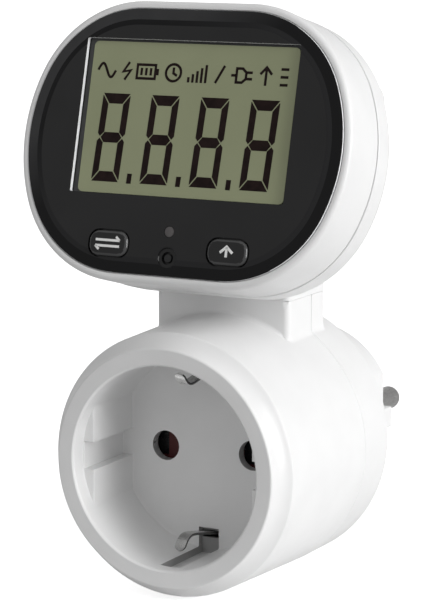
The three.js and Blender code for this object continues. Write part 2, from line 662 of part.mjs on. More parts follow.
function shuntResistor() {
  const back = POWER_BOARD_Y - GAP;
  const outer = box(4, 14, back - 3, back, 7, 10);
  return cut(outer, box(5, 13, back - 2, back + 1, 6, 11));
}

piece(meter, 'power_board', powerBoard(), BOARD_GREEN);
piece(meter, 'dropper_capacitor', boardPart(3, 12, -13.5, -7.5, 9), CAPACITOR_YELLOW);
piece(meter, 'smoothing_capacitor', bar(3.1, -36, POWER_BOARD_Y - GAP, -7.5, -10.5, 20), BLACK);
piece(meter, 'varistor', bar(3.2, -30, POWER_BOARD_Y - GAP, -7.5, 9.5, 20), RED);
piece(meter, 'shunt_resistor', shuntResistor(), BRASS);
piece(meter, 'metering_chip', boardPart(-15.5, -11.5, 3, 8, 1.5), BLACK);
piece(meter, 'wire_connector', boardPart(4, 11, 12.2, 15.5, 4), CARRIER_GREY);

// ---------------------------------------------------------------- display head

function headFrontShell() {
  const postFront = 1.6;
  const block = slab(headOutline(BEZEL), 0, HEAD_SEAM_Y);
  const panelSeat = slab(headOutline(0), -OVERCUT, PANEL_THICKNESS + PANEL_CLEARANCE);
  const throat = slab(headOutline(-PANEL_LEDGE), 0, LEDGE_BACK_Y + OVERCUT);
  const cavity = slab(headOutline(BEZEL - HEAD_WALL), LEDGE_BACK_Y, HEAD_SEAM_Y + OVERCUT);
  const posts = postPlaces().flatMap(([x, z]) => {
    const xs = [x, x + Math.sign(x) * 5.4];
    const rib = boxBetween(xs, postFront, HEAD_SEAM_Y, [z - 0.8, z + 0.8]);
    return [bar(HEAD_POST_R, postFront, HEAD_SEAM_Y, x, z, 12), rib];
  });
  const holes = postPlaces()
    .map(([x, z]) => bar(HEAD_SCREW_HOLE_R, 3.5, HEAD_SEAM_Y + OVERCUT, x, z, 12));
  const shell = cut(block, panelSeat, throat, cavity);
  const postsInside = posts.map((post) => common(post, block));
  return cut(join(shell, ...postsInside), ...holes);
}

function footBlock() {
  const shape = neckOutline(0, NECK_FRONT_Y, NECK_BACK_Y, NECK_CORNER_R);
  const column = pillar(shape, NECK_TOP_Z + GAP / 2, FOOT_TOP_Z);
  const slope = box(-FAR, FAR, 0, 30, -30, 30).rotateX(FOOT_SLOPE);
  return cut(column, slope.translate(0, NECK_BACK_Y - 1, FOOT_SLOPE_Z)).applyMatrix4(fromMeterToHead);
}

// The cable's way up through the foot and forward into the head
function footPassage() {
  const [y0, y1] = [NECK_BORE_FRONT_Y + 1.6, NECK_BORE_BACK_Y - 1.6];
  const shape = neckOutline(NECK_WALL + 2, y0, y1, NECK_BORE_CORNER_R);
  const lower = pillar(shape, 20, FOOT_SLOPE_Z + 0.5);
  const window = box(-7, 7, NECK_BORE_FRONT_Y - 8, NECK_BORE_FRONT_Y + 3, 37, FOOT_SLOPE_Z);
  return join(lower, window).applyMatrix4(fromMeterToHead);
}

// A square tongue under the foot, clamped between the two halves of the neck
function footTongue() {
  const [y0, y1] = [NECK_BORE_FRONT_Y + GAP, NECK_BORE_BACK_Y - GAP];
  const shape = neckOutline(NECK_WALL + GAP, y0, y1, NECK_BORE_CORNER_R);
  return pillar(shape, 23, NECK_TOP_Z + 2).applyMatrix4(fromMeterToHead);
}

function headRearShell() {
  const front = HEAD_SEAM_Y + GAP;
  const offset = BEZEL + REAR_STEP;
  const aheadOf = (y) => box(-FAR, FAR, -FAR, y, -FAR, FAR);
  const block = cut(roundedHeadBlock(offset, HEAD_DEPTH, HEAD_BACK_FILLET), aheadOf(front));
  const inside = roundedHeadBlock(offset - HEAD_WALL, HEAD_DEPTH - HEAD_WALL, HEAD_BACK_FILLET - 1);
  const cavity = cut(inside, aheadOf(front - OVERCUT));
  const bosses = postPlaces().map(([x, z]) => common(bar(HEAD_BOSS_R, front, HEAD_DEPTH, x, z, 20), block));
  const holes = postPlaces().map(([x, z]) => bar(HEAD_SCREW_HOLE_R, front - OVERCUT, FAR, x, z, 12));
  const seatY = front + HEAD_SCREW_SEAT;
  const counterbores = postPlaces().map(([x, z]) => bar(HEAD_COUNTERBORE_R, seatY, FAR, x, z, 12));
  const shell = join(cut(block, cavity), ...bosses);
  const foot = cut(footBlock(), cavity, aheadOf(front + OVERCUT));
  return cut(join(shell, foot, footTongue()), footPassage(), ...holes, ...counterbores);
}

function buttonOutline(grow) {
  const halfWidth = BUTTON_HALF_WIDTH + grow;
  const halfHeight = BUTTON_HALF_HEIGHT + grow;
  return rectangle(-halfWidth, halfWidth, -halfHeight, halfHeight, halfHeight * 0.75);
}

function facePanel() {
  const [front, back] = [-OVERCUT, PANEL_THICKNESS + OVERCUT];
  const plate = slab(headOutline(-PANEL_CLEARANCE), 0, PANEL_THICKNESS);
  const { halfWidth, bottom, top } = WINDOW;
  const window = box(DISPLAY_X - halfWidth, DISPLAY_X + halfWidth, front, back, bottom, top);
  const buttonHoles = [1, -1]
    .map((side) => slab(buttonOutline(GAP), front, back, 3).translate(side * BUTTON_X, 0, BUTTON_Z));
  const resetDish = bar(2, front, 0.45, 0, RESET_Z, 20);
  const resetHole = bar(RESET_R + 0.35, front, back, 0, RESET_Z, 16);
  const indicatorHole = bar(INDICATOR_R + 0.2, front, back, 0, INDICATOR_Z, 16);
  return cut(plate, window, ...buttonHoles, resetDish, resetHole, indicatorHole);
}

// A button cap that stands just proud of the face, with a flange behind it and a short stem
function button(x) {
  const cap = slab(buttonOutline(0), -0.45, FLANGE_Y[1] - 0.1, 3);
  const flange = slab(buttonOutline(0.9), ...FLANGE_Y, 3);
  const stem = bar(1.6, FLANGE_Y[1] - 0.2, STEM_END_Y, 0, 0, 16);
  return join(cap, flange, stem).translate(x, 0, BUTTON_Z);
}

function resetButton() {
  const tip = bar(RESET_R, 0.5, FLANGE_Y[1] - 0.2, 0, RESET_Z, 16);
  const flange = bar(2 * RESET_R, ...FLANGE_Y, 0, RESET_Z, 16);
  const stem = bar(RESET_R + 0.15, FLANGE_Y[1] - 0.2, STEM_END_Y, 0, RESET_Z, 16);
  return join(tip, flange, stem);
}

function tactSwitch(x, z, halfSize) {
  const body = box(x - halfSize, x + halfSize, 3.2, BOARD_FRONT_Y - GAP, z - halfSize, z + halfSize);
  return join(body, bar(halfSize * 0.55, STEM_END_Y + BUTTON_TRAVEL + 0.05, 3.5, x, z, 12));
}

function indicatorLens() {
  const tip = bar(INDICATOR_R, 0.1, 1.5, 0, INDICATOR_Z, 16);
  return join(tip, bar(1.4, FLANGE_Y[0], 2.2, 0, INDICATOR_Z, 16));
}

function displayBoard() {
  const [y0, y1] = [BOARD_FRONT_Y - OVERCUT, BOARD_FRONT_Y + BOARD_THICKNESS + OVERCUT];
  const plate = slab(headOutline(-2), BOARD_FRONT_Y, BOARD_FRONT_Y + BOARD_THICKNESS);
  const notches = postPlaces().flatMap(([x, z]) => {
    const ribRoom = boxBetween([x, x + Math.sign(x) * 8], y0, y1, [z - 1.2, z + 1.2]);
    return [bar(HEAD_POST_R + 0.4, y0, y1, x, z, 12), ribRoom];
  });
  return cut(plate, ...notches);
}

// A box centred on the display, from its half width and its heights
function displayBox(halfWidth, y0, y1, z0, z1) {
  return box(DISPLAY_X - halfWidth, DISPLAY_X + halfWidth, y0, y1, z0, z1);
}

const boardFace = BOARD_FRONT_Y - GAP;
const boardBack = BOARD_FRONT_Y + BOARD_THICKNESS;

function lcdFrame() {
  const outer = displayBox(GLASS.halfWidth, 3.7, boardFace, GLASS.bottom - 1, GLASS.top);
  const opening = displayBox(21, 3, 7, -8, 17);
  const zebraSlot = displayBox(22.3, 3, 7, GLASS.bottom, GLASS_LAP);
  return cut(outer, opening, zebraSlot);
}

const frontGlass = displayBox(GLASS.halfWidth, PANEL_THICKNESS + GAP, 2.1, GLASS.bottom, GLASS.top);
const rearGlass = displayBox(GLASS.halfWidth, 2.4, 3.4, GLASS_LAP + GAP, GLASS.top);
const zebraStrip = displayBox(22, 2.4, boardFace, GLASS.bottom + GAP, GLASS_LAP - GAP);

piece(head, 'head_front_shell', headFrontShell(), WHITE);
piece(head, 'head_rear_shell', headRearShell(), WHITE);
piece(head, 'face_panel', facePanel(), GLOSS_BLACK);
piece(head, 'lcd_front_glass', frontGlass, LCD_GREEN);
piece(head, 'lcd_rear_glass', rearGlass, LCD_GREEN);
piece(head, 'lcd_frame', lcdFrame(), BLACK);
piece(head, 'zebra_strip', zebraStrip, RUBBER_GREY);
piece(head, 'display_board', displayBoard(), BOARD_GREEN);
piece(head, 'mode_button', button(-BUTTON_X), BLACK);
piece(head, 'up_button', button(BUTTON_X), BLACK);
piece(head, 'reset_button', resetButton(), BLACK);
piece(head, 'mode_switch', tactSwitch(-BUTTON_X, BUTTON_Z, 2.8), BLACK);
piece(head, 'up_switch', tactSwitch(BUTTON_X, BUTTON_Z, 2.8), BLACK);
piece(head, 'reset_switch', tactSwitch(0, RESET_Z + 0.1, 1.5), BLACK);
piece(head, 'indicator_lens', indicatorLens(), INDICATOR_GREY);

piece(head, 'display_chip', box(6, 15, boardBack + GAP, boardBack + 1.5, 0, 9), BLACK);
piece(head, 'backup_battery', bar(8, boardBack + GAP, boardBack + 5.6, -14, 3, 24), STEEL);
piece(head, 'display_connector', box(-4, 4, boardBack + GAP, boardBack + 3.2, -16, -12), CARRIER_GREY);
const headScrewY = HEAD_SEAM_Y + GAP + HEAD_SCREW_SEAT + GAP + HEAD_SCREW_HEIGHT;
postPlaces().forEach(([x, z], i) => {
  const geometry = screw(2.3, HEAD_SCREW_HEIGHT, 1.1, 9).translate(x, headScrewY, z);
  piece(head, `head_screw_${i + 1}`, geometry, STEEL);
});

// ---------------------------------------------------------------- ribbon cable

// Runs from the power board's connector, up through the neck and the foot of the head,
// to the connector on the back of the display board.
function ribbonCable() {
  const headEnd = new THREE.Vector3(0, boardBack + 3.2 + GAP, -14).applyMatrix4(head.matrix);
  const headExit = new THREE.Vector3(0, boardBack + 6.5, -14.8).applyMatrix4(head.matrix);
  const extrudePath = new THREE.CatmullRomCurve3([
    new THREE.Vector3(7.5, POWER_BOARD_Y - 4.3 - GAP, 14),
    new THREE.Vector3(7.3, -32.8, 14.6),
    new THREE.Vector3(6, -33.8, 17.5),
    new THREE.Vector3(3, -33.5, 22),
    new THREE.Vector3(0.5, -33, 29),
    new THREE.Vector3(0, -33.2, 35),
    new THREE.Vector3(0, -36, 40.2),
    headExit,
    headEnd,
  ]);
  const section = new THREE.Shape(arcPoints(0, 0, 1.1, 0, 2 * Math.PI, 8));
  return new THREE.ExtrudeGeometry(section, { extrudePath, steps: 20, bevelEnabled: false });
}

piece(meter, 'display_cable', ribbonCable(), RIBBON_GREY);

export default meter;
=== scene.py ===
"""Looks of a plug-in power meter: a round socket adapter with a tilted display head on a square neck.

Lengths are millimetres in the part's own frame until a mesh is made, where they become metres.
+Z is up, +Y points into the wall, and the origin is the centre of the plug's end face.
"""
import json
import math

import bmesh
import bpy
from mathutils import Matrix, Vector


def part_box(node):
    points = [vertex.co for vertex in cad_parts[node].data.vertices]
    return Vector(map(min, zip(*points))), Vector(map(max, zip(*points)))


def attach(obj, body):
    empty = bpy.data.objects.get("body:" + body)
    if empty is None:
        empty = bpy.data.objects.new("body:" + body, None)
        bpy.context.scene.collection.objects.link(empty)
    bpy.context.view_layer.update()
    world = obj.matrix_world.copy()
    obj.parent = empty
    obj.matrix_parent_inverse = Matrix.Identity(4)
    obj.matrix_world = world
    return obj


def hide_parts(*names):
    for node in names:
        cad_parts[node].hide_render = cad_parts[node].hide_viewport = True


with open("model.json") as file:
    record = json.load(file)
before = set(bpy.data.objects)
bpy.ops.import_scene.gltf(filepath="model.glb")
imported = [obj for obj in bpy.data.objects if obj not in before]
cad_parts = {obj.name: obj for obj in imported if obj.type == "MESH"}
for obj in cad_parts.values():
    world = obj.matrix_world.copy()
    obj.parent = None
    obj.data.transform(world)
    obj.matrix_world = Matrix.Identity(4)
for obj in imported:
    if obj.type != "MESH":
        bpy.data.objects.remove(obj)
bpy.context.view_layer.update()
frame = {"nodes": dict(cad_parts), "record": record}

MM = 0.001
BODY = "meter_body"
SMOOTH_BELOW = math.radians(32)


def low(node):
    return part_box(node)[0] / MM


def high(node):
    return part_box(node)[1] / MM


# ---- sizes from the frame

RING_Y = low("front_housing").y
SEAM_FRONT_Y = high("front_housing").y
SEAM_BACK_Y = low("rear_housing").y
BACK_Y = high("rear_housing").y
SEAM_R = high("rear_housing").x
NECK_TOP = high("front_housing").z
PIN_END_Y = high("line_pin").y
PIN_X = (low("line_pin").x + high("line_pin").x) / 2

# ---- round body and recess

RING_INNER_R = 19.9
RING_OUTER_R = 22.6
RING_EDGE_R = 0.45
SHOULDER_R = 25.4
SHOULDER_Y = RING_Y + 4
CREASE_R = 0.15
WALL = 2
RECESS_R = 19.5
FLOOR_Y = RING_Y + 18.2
FLOOR_BACK_Y = FLOOR_Y + 2
CUP_OUTER_R = 21.3
PIN_HOLE_R = 2.94
KEY_X = 17
KEY_Y = RING_Y + 3.5
GROOVE_X = 19.2
GROOVE_HALF = 2.7
SLOT_HALF = 2.2
SLOT_Z = (15.4, 20.8)
POCKET_DEPTH = 1.4
CLIP_HOLE_Z = (16.2, 17.65)
SCREWS = [(15.6, 15.6), (-15.6, 15.6), (-15.6, -15.6), (15.6, -15.6)]

NECK_HALF_WIDTH = 14.6
NECK_FRONT_Y = RING_Y + 23.5
NECK_BACK_Y = RING_Y + 39.3
NECK_MIDDLE_Y = (NECK_FRONT_Y + NECK_BACK_Y) / 2
NECK_HALF_DEPTH = (NECK_BACK_Y - NECK_FRONT_Y) / 2
NECK_EDGE_R = 1.3
NECK_WALL = 1.8
NECK_FILLET = 0.8
PARTING_EDGE = 0.12

# ---- plug

PLUG_R = 18.5
PLUG_FLAT_X = 16.2
PLUG_RIB_X = 18.1
PLUG_RIB_HALF = 2.1
PLUG_EDGE_R = 0.9
PLUG_BORE_R = 18.8
PIN_R = 2.4
EARTH_Z = 17.6

# ---- head

HEAD_TILT = math.radians(14.2)
FACE_CENTRE = (0, -57, 60.7)
HEAD = Matrix.Translation(FACE_CENTRE) @ Matrix.Rotation(-HEAD_TILT, 4, "X")
FACE_HALF_WIDTH = 33.3
FACE_HALF_HEIGHT = 25.2
FACE_SIDE_R = 31.5
FACE_CORNER_R = 21.2
BEZEL = 1.45
RIM_R = 1.0
BORDER_SLOPE_Y = 0.14
OUTER_WALL_REACH = 23
REAR_STEP = 0.15
HEAD_SEAM = 12
HEAD_DEPTH = 20.5
HEAD_BACK_R = 4.5
HEAD_WALL = 1.7
DISPLAY_X = 0.55
WINDOW = (DISPLAY_X - 23, DISPLAY_X + 22.2, -10.35, 19.15)
GLASS = (DISPLAY_X - 23.45, DISPLAY_X + 23.45, -12.2, 19.45)
ACTIVE = (DISPLAY_X - 21.8, DISPLAY_X + 21.8, -10.2, 18.67)
BUTTON_X = 12.6
BUTTON_Z = -19.7
BUTTON_HALF = (4.15, 2.4)
RESET_Z = -21.6
INDICATOR_Z = -16.7
CAP_FRONT_Y = -0.52
POSTS = [(27.6, 12), (-27.6, 12), (-23.5, -16.3), (23.5, -16.3)]
RIB_REACH_UPPER = 4.2
RIB_REACH_LOWER = 5


# ---- mesh building

def new_object(name, points, faces, matrix=None):
    mesh = bpy.data.meshes.new(name)
    place = matrix or Matrix.Identity(4)
    mesh.from_pydata([place @ Vector(p) * MM for p in points], [], faces)
    obj = bpy.data.objects.new(name, mesh)
    bpy.context.scene.collection.objects.link(obj)
    tidy(mesh)
    return obj


def tidy(mesh):
    """Merges doubled points, drops empty faces and turns all faces outwards."""
    bm = bmesh.new()
    bm.from_mesh(mesh)
    bmesh.ops.remove_doubles(bm, verts=bm.verts, dist=2e-6)
    bmesh.ops.dissolve_degenerate(bm, edges=bm.edges, dist=1e-7)
    bmesh.ops.recalc_face_normals(bm, faces=bm.faces)
    bm.to_mesh(mesh)
    bm.free()


def skin(name, rings, loop=False, matrix=None):
    """A closed surface through rings of points. A one-point ring is a pole. Other open ends get a cap."""
    points, starts = [], []
    for ring in rings:
        starts.append(len(points))
        points.extend(ring)
    faces = []
    for a in range(len(rings) if loop else len(rings) - 1):
        b = (a + 1) % len(rings)
        count = max(len(rings[a]), len(rings[b]))
        for i in range(count):
            j = (i + 1) % count
            corner = [starts[a] + i, starts[a] + j, starts[b] + j, starts[b] + i]
            if len(rings[a]) == 1:
                corner = [starts[a], starts[b] + j, starts[b] + i]
            if len(rings[b]) == 1:
                corner = [starts[a] + i, starts[a] + j, starts[b]]
            faces.append(corner)
    if not loop:
        for k in (0, len(rings) - 1):
            if len(rings[k]) > 1:
                faces.append([starts[k] + i for i in range(len(rings[k]))])
    return new_object(name, points, faces, matrix)


def combine(target, operation, *tools):
    """Joins solids to the target or cuts them out of it, and removes them."""
    for tool in tools:
        step = target.modifiers.new("step", "BOOLEAN")
        step.operation = operation
        step.solver = "EXACT"
        step.object = tool
    graph = bpy.context.evaluated_depsgraph_get()
    made = bpy.data.meshes.new_from_object(target.evaluated_get(graph))
    made.name = target.name
    target.modifiers.clear()
    target.data = made
    for tool in tools:
        bpy.data.objects.remove(tool)
    return target


def finished(obj, material, replaced=(), body=BODY):
    """Shades the piece smoothly except at sharp edges, gives it its material and body, and hides the parts it
    replaces.
    """
    for face in obj.data.polygons:
        face.use_smooth = True
    obj.data.set_sharp_from_angle(angle=SMOOTH_BELOW)
    weighted = obj.modifiers.new("normals", "WEIGHTED_NORMAL")
    weighted.keep_sharp = True
    weighted.weight = 70
    obj.data.materials.clear()
    obj.data.materials.append(material)
    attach(obj, body)
    if replaced:
        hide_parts(*replaced)


def paint(obj, material, test, place=None):
    """Gives the faces that pass the test one more material.
    The test gets a face's centre and normal in the frame of place."""
    obj.data.materials.append(material)
    index = len(obj.data.materials) - 1
    inverse = place.inverted() if place else Matrix.Identity(4)
    turn = inverse.to_3x3()
    for face in obj.data.polygons:
        if test(inverse @ (Vector(face.center) / MM), turn @ face.normal):
            face.material_index = index


# ---- outlines

def arc(cx, cy, radius, start, stop, steps):
    """Points on an arc, angles in degrees, both ends included."""
    turn = [math.radians(start + (stop - start) * i / steps) for i in range(steps + 1)]
    return [(cx + radius * math.cos(a), cy + radius * math.sin(a)) for a in turn]


def rounding(steps, first=0):
    """(1 - cos, 1 - sin) at even steps over a quarter turn, for rounded edges."""
    turns = [math.radians(90 * i / steps) for i in range(first, steps + 1)]
    return [(1 - math.cos(a), 1 - math.sin(a)) for a in turns]


def circle(radius, x=0.0, z=0.0, steps=64):
    return arc(x, z, radius, 0, 360, steps)[:-1]


def rounded(half_width, half_height, radius, x=0.0, z=0.0, steps=10):
    """A rectangle with round corners."""
    points = []
    for sx, sz, start in ((1, 1, 0), (-1, 1, 90), (-1, -1, 180), (1, -1, 270)):
        cx = x + sx * (half_width - radius)
        cz = z + sz * (half_height - radius)
        points += arc(cx, cz, radius, start, start + 90, steps)
    return points


def head_outline(offset):
    """The head's outline: flat top and bottom, bowed sides and large round corners."""
    side_r = FACE_SIDE_R + offset
    corner_r = FACE_CORNER_R + offset
    corner_z = FACE_HALF_HEIGHT - FACE_CORNER_R
    turn = math.degrees(math.asin(corner_z / (side_r - corner_r)))
    side_x = FACE_HALF_WIDTH + offset - side_r
    corner_x = side_x + (side_r - corner_r) * math.cos(math.radians(turn))
    points = arc(side_x, 0, side_r, -turn, turn, 24)[:-1]
    points += arc(corner_x, corner_z, corner_r, turn, 90, 30)
    points += arc(-corner_x, corner_z, corner_r, 90, 180 - turn, 30)[:-1]
    points += arc(-side_x, 0, side_r, 180 - turn, 180 + turn, 24)[:-1]
    points += arc(-corner_x, -corner_z, corner_r, 180 + turn, 270, 30)
    points += arc(corner_x, -corner_z, corner_r, 270, 360 - turn, 30)[:-1]
    return points


def at(outline, y):
    """The outline as points at one y."""
    return [(x, y, z) for x, z in outline]


def pillar(name, outline, levels):
    """An upright column: an X and Y outline at each of the levels (inset, z)."""
    return skin(name, [[(x, y, z) for x, y in outline(inset)] for inset, z in levels])


def slab(name, outline, y0, y1, matrix=None):
    return skin(name, [at(outline, y0), at(outline, y1)], matrix=matrix)


def block(name, x0, x1, y0, y1, z0, z1, matrix=None):
    x0, x1 = sorted((x0, x1))
    z0, z1 = sorted((z0, z1))
    outline = [(x0, z0), (x1, z0), (x1, z1), (x0, z1)]
    return slab(name, outline, y0, y1, matrix)


def bar(name, radius, y0, y1, x=0.0, z=0.0, steps=48, matrix=None):
    return slab(name, circle(radius, x, z, steps), y0, y1, matrix)


def turned(name, profile, x=0.0, z=0.0, steps=64, matrix=None):
    """A [radius, y] profile turned about an axis along Y. A radius of 0 is a pole."""
    rings = [at(circle(r, x, z, steps), y) if r > 0 else [(x, y, z)] for r, y in profile]
    return skin(name, rings, matrix=matrix)


# ---- the round body's surface

def body_angles():
    """Directions round the body's axis, in degrees, closer together where the neck and keys begin."""
    groove = [math.degrees(math.atan2(GROOVE_HALF, x)) for x in (GROOVE_X, KEY_X)]
    key_end = math.degrees(math.acos(KEY_X / RECESS_R))
    corner = math.degrees(math.atan2(NECK_TOP, NECK_HALF_WIDTH))
    side = [52 + 0.5 * i for i in range(17)] + [corner - 0.4, corner, corner + 0.4]
    exact = []
    for angle in [*groove, key_end]:
        exact += [angle, 180 - angle, 180 + angle, 360 - angle]
    for angle in side:
        exact += [angle, 180 - angle]
    even = [2.0 * i for i in range(180) if all(abs(2.0 * i - e) > 0.6 for e in exact)]
    return [math.radians(a) for a in sorted(exact + even)]


ANGLES = body_angles()


def barrel_radius(y):
    along = (y - SHOULDER_Y) / (SEAM_FRONT_Y - SHOULDER_Y)
    return SHOULDER_R + (SEAM_R - SHOULDER_R) * min(max(along, 0), 1)


def neck_reach(angle, half_width):
    """Distance from the axis to the neck's sides and top."""
    if math.sin(angle) <= 0.1:
        return 0
    side = half_width / max(abs(math.cos(angle)), 1e-6)
    return min(side, NECK_TOP / math.sin(angle))


def with_neck(angle, radius, half_width):
    """The larger of the barrel's and the neck's reach, with a fillet between them."""
    neck = neck_reach(angle, half_width)
    overlap = max(1 - abs(radius - neck), 0)
    return max(radius, neck) + overlap * overlap / 4


def polar(y, reach):
    return [(reach(a) * math.cos(a), y, reach(a) * math.sin(a)) for a in ANGLES]


def plain_rings(*levels):
    """A round ring of points at each of the levels (radius, y)."""
    return [polar(y, lambda a: radius) for radius, y in levels]


def neck_ring(y, half_width, inset=0.0):
    return polar(y, lambda a: with_neck(a, barrel_radius(y), half_width) - inset)


def neck_end(face_y, away):
    """Rings over one end of the neck, from the plain barrel to the full neck.
    The neck lies on the side of face_y that away doesn't point to."""
    rings = []
    for out, back in rounding(4):
        y = face_y + away * NECK_FILLET * back

        def reach(a, y=y, rise=NECK_FILLET * out):
            barrel = barrel_radius(y)
            room = neck_reach(a, NECK_HALF_WIDTH - NECK_EDGE_R) - barrel
            return barrel + rise * min(max(room, 0), 1)

        rings.append(polar(y, reach))
    for out, back in rounding(6):
        half_width = NECK_HALF_WIDTH - NECK_EDGE_R * back
        rings.append(neck_ring(face_y - away * NECK_EDGE_R * out, half_width))
    return rings


def key_reach(angle, inset=0.0):
    """The recess wall with its flat-faced keys, and the groove between the two keys of a side."""
    across = abs(math.cos(angle))
    in_groove = abs(math.tan(angle)) * GROOVE_X <= GROOVE_HALF + 1e-6
    flat = (GROOVE_X if in_groove else KEY_X) / max(across, 1e-6)
    return min(RECESS_R, flat + inset)


def shoulder_rings():
    """The ring's rounded outer edge, a shallow cove behind it and a crisp crease where the barrel begins."""
    rings = []
    for x, y in arc(0, 0, RING_EDGE_R, -90, 0, 5)[:-1]:
        rings += plain_rings((RING_OUTER_R + x, RING_Y + RING_EDGE_R + y))
    start = Vector((RING_OUTER_R + RING_EDGE_R, RING_Y + RING_EDGE_R))
    pull = Vector((start.x + 0.5, RING_Y + 0.6 * (SHOULDER_Y - RING_Y)))
    stop = Vector((SHOULDER_R - CREASE_R, SHOULDER_Y - CREASE_R))
    for i in range(15):
        t = i / 14
        rings += plain_rings(start * (1 - t) ** 2 + pull * 2 * t * (1 - t) + stop * t * t)
    return rings + plain_rings((SHOULDER_R - 0.3 * CREASE_R, SHOULDER_Y - 0.25 * CREASE_R),
                               (SHOULDER_R + 0.02, SHOULDER_Y + CREASE_R))


def neck_hole(name):
    """The passage down through the neck."""
    half_width = NECK_HALF_WIDTH - NECK_WALL
    outline = rounded(half_width, NECK_HALF_DEPTH - NECK_WALL, 0.5, 0, NECK_MIDDLE_Y, 4)
    return pillar(name, lambda inset: outline, [(0, 17), (0, NECK_TOP + 2)])


def front_housing():
    corner = 0.35
    rings = [[(0, FLOOR_Y, 0)], polar(FLOOR_Y, lambda a: key_reach(a) - corner)]
    for out, back in rounding(3, 1):
        rings.append(polar(FLOOR_Y - corner * out, lambda a, inset=corner * back: key_reach(a) - inset))
    edge = 0.3
    for out, back in rounding(3):
        rings.append(polar(KEY_Y + edge * back, lambda a, inset=edge * out: key_reach(a, inset)))
    rings += plain_rings((RECESS_R, KEY_Y), (RECESS_R, RING_Y + 0.55), (RECESS_R + 0.06, RING_Y + 0.4),
                         (RING_INNER_R - 0.06, RING_Y + 0.06), (RING_INNER_R + 0.08, RING_Y))
    rings += shoulder_rings()
    rings += neck_end(NECK_FRONT_Y, -1)
    edge_y = SEAM_FRONT_Y - PARTING_EDGE
    rings += [neck_ring(edge_y, NECK_HALF_WIDTH), neck_ring(SEAM_FRONT_Y, NECK_HALF_WIDTH, PARTING_EDGE)]
    rings += plain_rings((SEAM_R - WALL, SEAM_FRONT_Y), (SHOULDER_R - WALL, SHOULDER_Y),
                         (CUP_OUTER_R, RING_Y + 2.5), (CUP_OUTER_R, FLOOR_BACK_Y))
    rings.append([(0, FLOOR_BACK_Y, 0)])
    shell = skin("front_shell", rings)
    posts = [bar("post", 2.6, FLOOR_BACK_Y - 1, SEAM_FRONT_Y - 0.3, x, z, 24) for x, z in SCREWS]
    combine(shell, "UNION", *posts)
    cuts = [neck_hole("passage")]
    for side in (1, -1):
        for name, y0, y1, reach in (("slot", RING_Y + 3, FLOOR_Y + POCKET_DEPTH, SLOT_Z),
                                    ("clip_hole", FLOOR_Y, FLOOR_BACK_Y + 1, CLIP_HOLE_Z)):
            cuts.append(block(name, -SLOT_HALF, SLOT_HALF, y0, y1, side * reach[0], side * reach[1]))
        cuts.append(bar("pin_hole", PIN_HOLE_R, FLOOR_Y - 1, FLOOR_BACK_Y + 1, side * PIN_X, 0, 72))
    for x, z in SCREWS:
        cuts.append(bar("screw_hole", 1.5, FLOOR_BACK_Y + 1.5, SEAM_FRONT_Y + 1, x, z, 24))
    combine(shell, "DIFFERENCE", *cuts)
    tidy(shell.data)
    finished(shell, WHITE, ["front_housing"])

    def shaded(centre, normal):
        """Painted shade: the pockets, the slots' sides and the pin holes' walls, which get a mid grey
        standing for the shade inside them.
        """
        in_slot = abs(centre.x) < SLOT_HALF + 0.01 and SLOT_Z[0] - 0.01 < abs(centre.z) < SLOT_Z[1] + 0.01
        pocket = in_slot and FLOOR_Y + 0.01 < centre.y < FLOOR_BACK_Y - 0.01
        slot_side = in_slot and abs(normal.x) > 0.95 and centre.y < FLOOR_Y + 0.01
        near_pin = math.hypot(abs(centre.x) - PIN_X, centre.z) < PIN_HOLE_R + 0.05
        pin_wall = near_pin and abs(normal.y) < 0.1 and centre.y > FLOOR_Y + 0.01
        return pocket or slot_side or pin_wall

    # Painted shade: these inner faces get the mid grey in place of the white.
    paint(shell, SHADE, shaded)


def rear_housing():
    plate_y = BACK_Y - WALL
    rim = 1.0
    rings = [neck_ring(SEAM_BACK_Y, NECK_HALF_WIDTH, PARTING_EDGE)]
    rings += [neck_ring(SEAM_BACK_Y + PARTING_EDGE, NECK_HALF_WIDTH)]
    rings += neck_end(NECK_BACK_Y, 1)[::-1]
    rings += plain_rings(*((SEAM_R - rim * out, BACK_Y - rim * back) for out, back in rounding(6)))
    rings += plain_rings((PLUG_BORE_R + 0.3, BACK_Y), (PLUG_BORE_R, BACK_Y - 0.3), (PLUG_BORE_R, plate_y),
                         (SEAM_R - WALL, plate_y), (SEAM_R - WALL, SEAM_BACK_Y))
    shell = skin("rear_shell", rings, loop=True)
    bosses = [bar("boss", 2.8, SEAM_BACK_Y + 0.15, plate_y + 0.5, x, z, 24) for x, z in SCREWS]
    combine(shell, "UNION", *bosses)
    cuts = [neck_hole("passage")]
    for x, z in SCREWS:
        cuts.append(bar("screw_hole", 1.6, SEAM_BACK_Y - 1, BACK_Y + 1, x, z, 32))
        cuts.append(bar("counterbore", 2.3, plate_y - 2, BACK_Y + 1, x, z, 40))
    cuts.append(bar("bore", PLUG_BORE_R, SEAM_BACK_Y - 1, BACK_Y - 0.4, 0, 0, 128))
    combine(shell, "DIFFERENCE", *cuts)
    tidy(shell.data)
    finished(shell, WHITE, ["rear_housing"])


# ---- materials

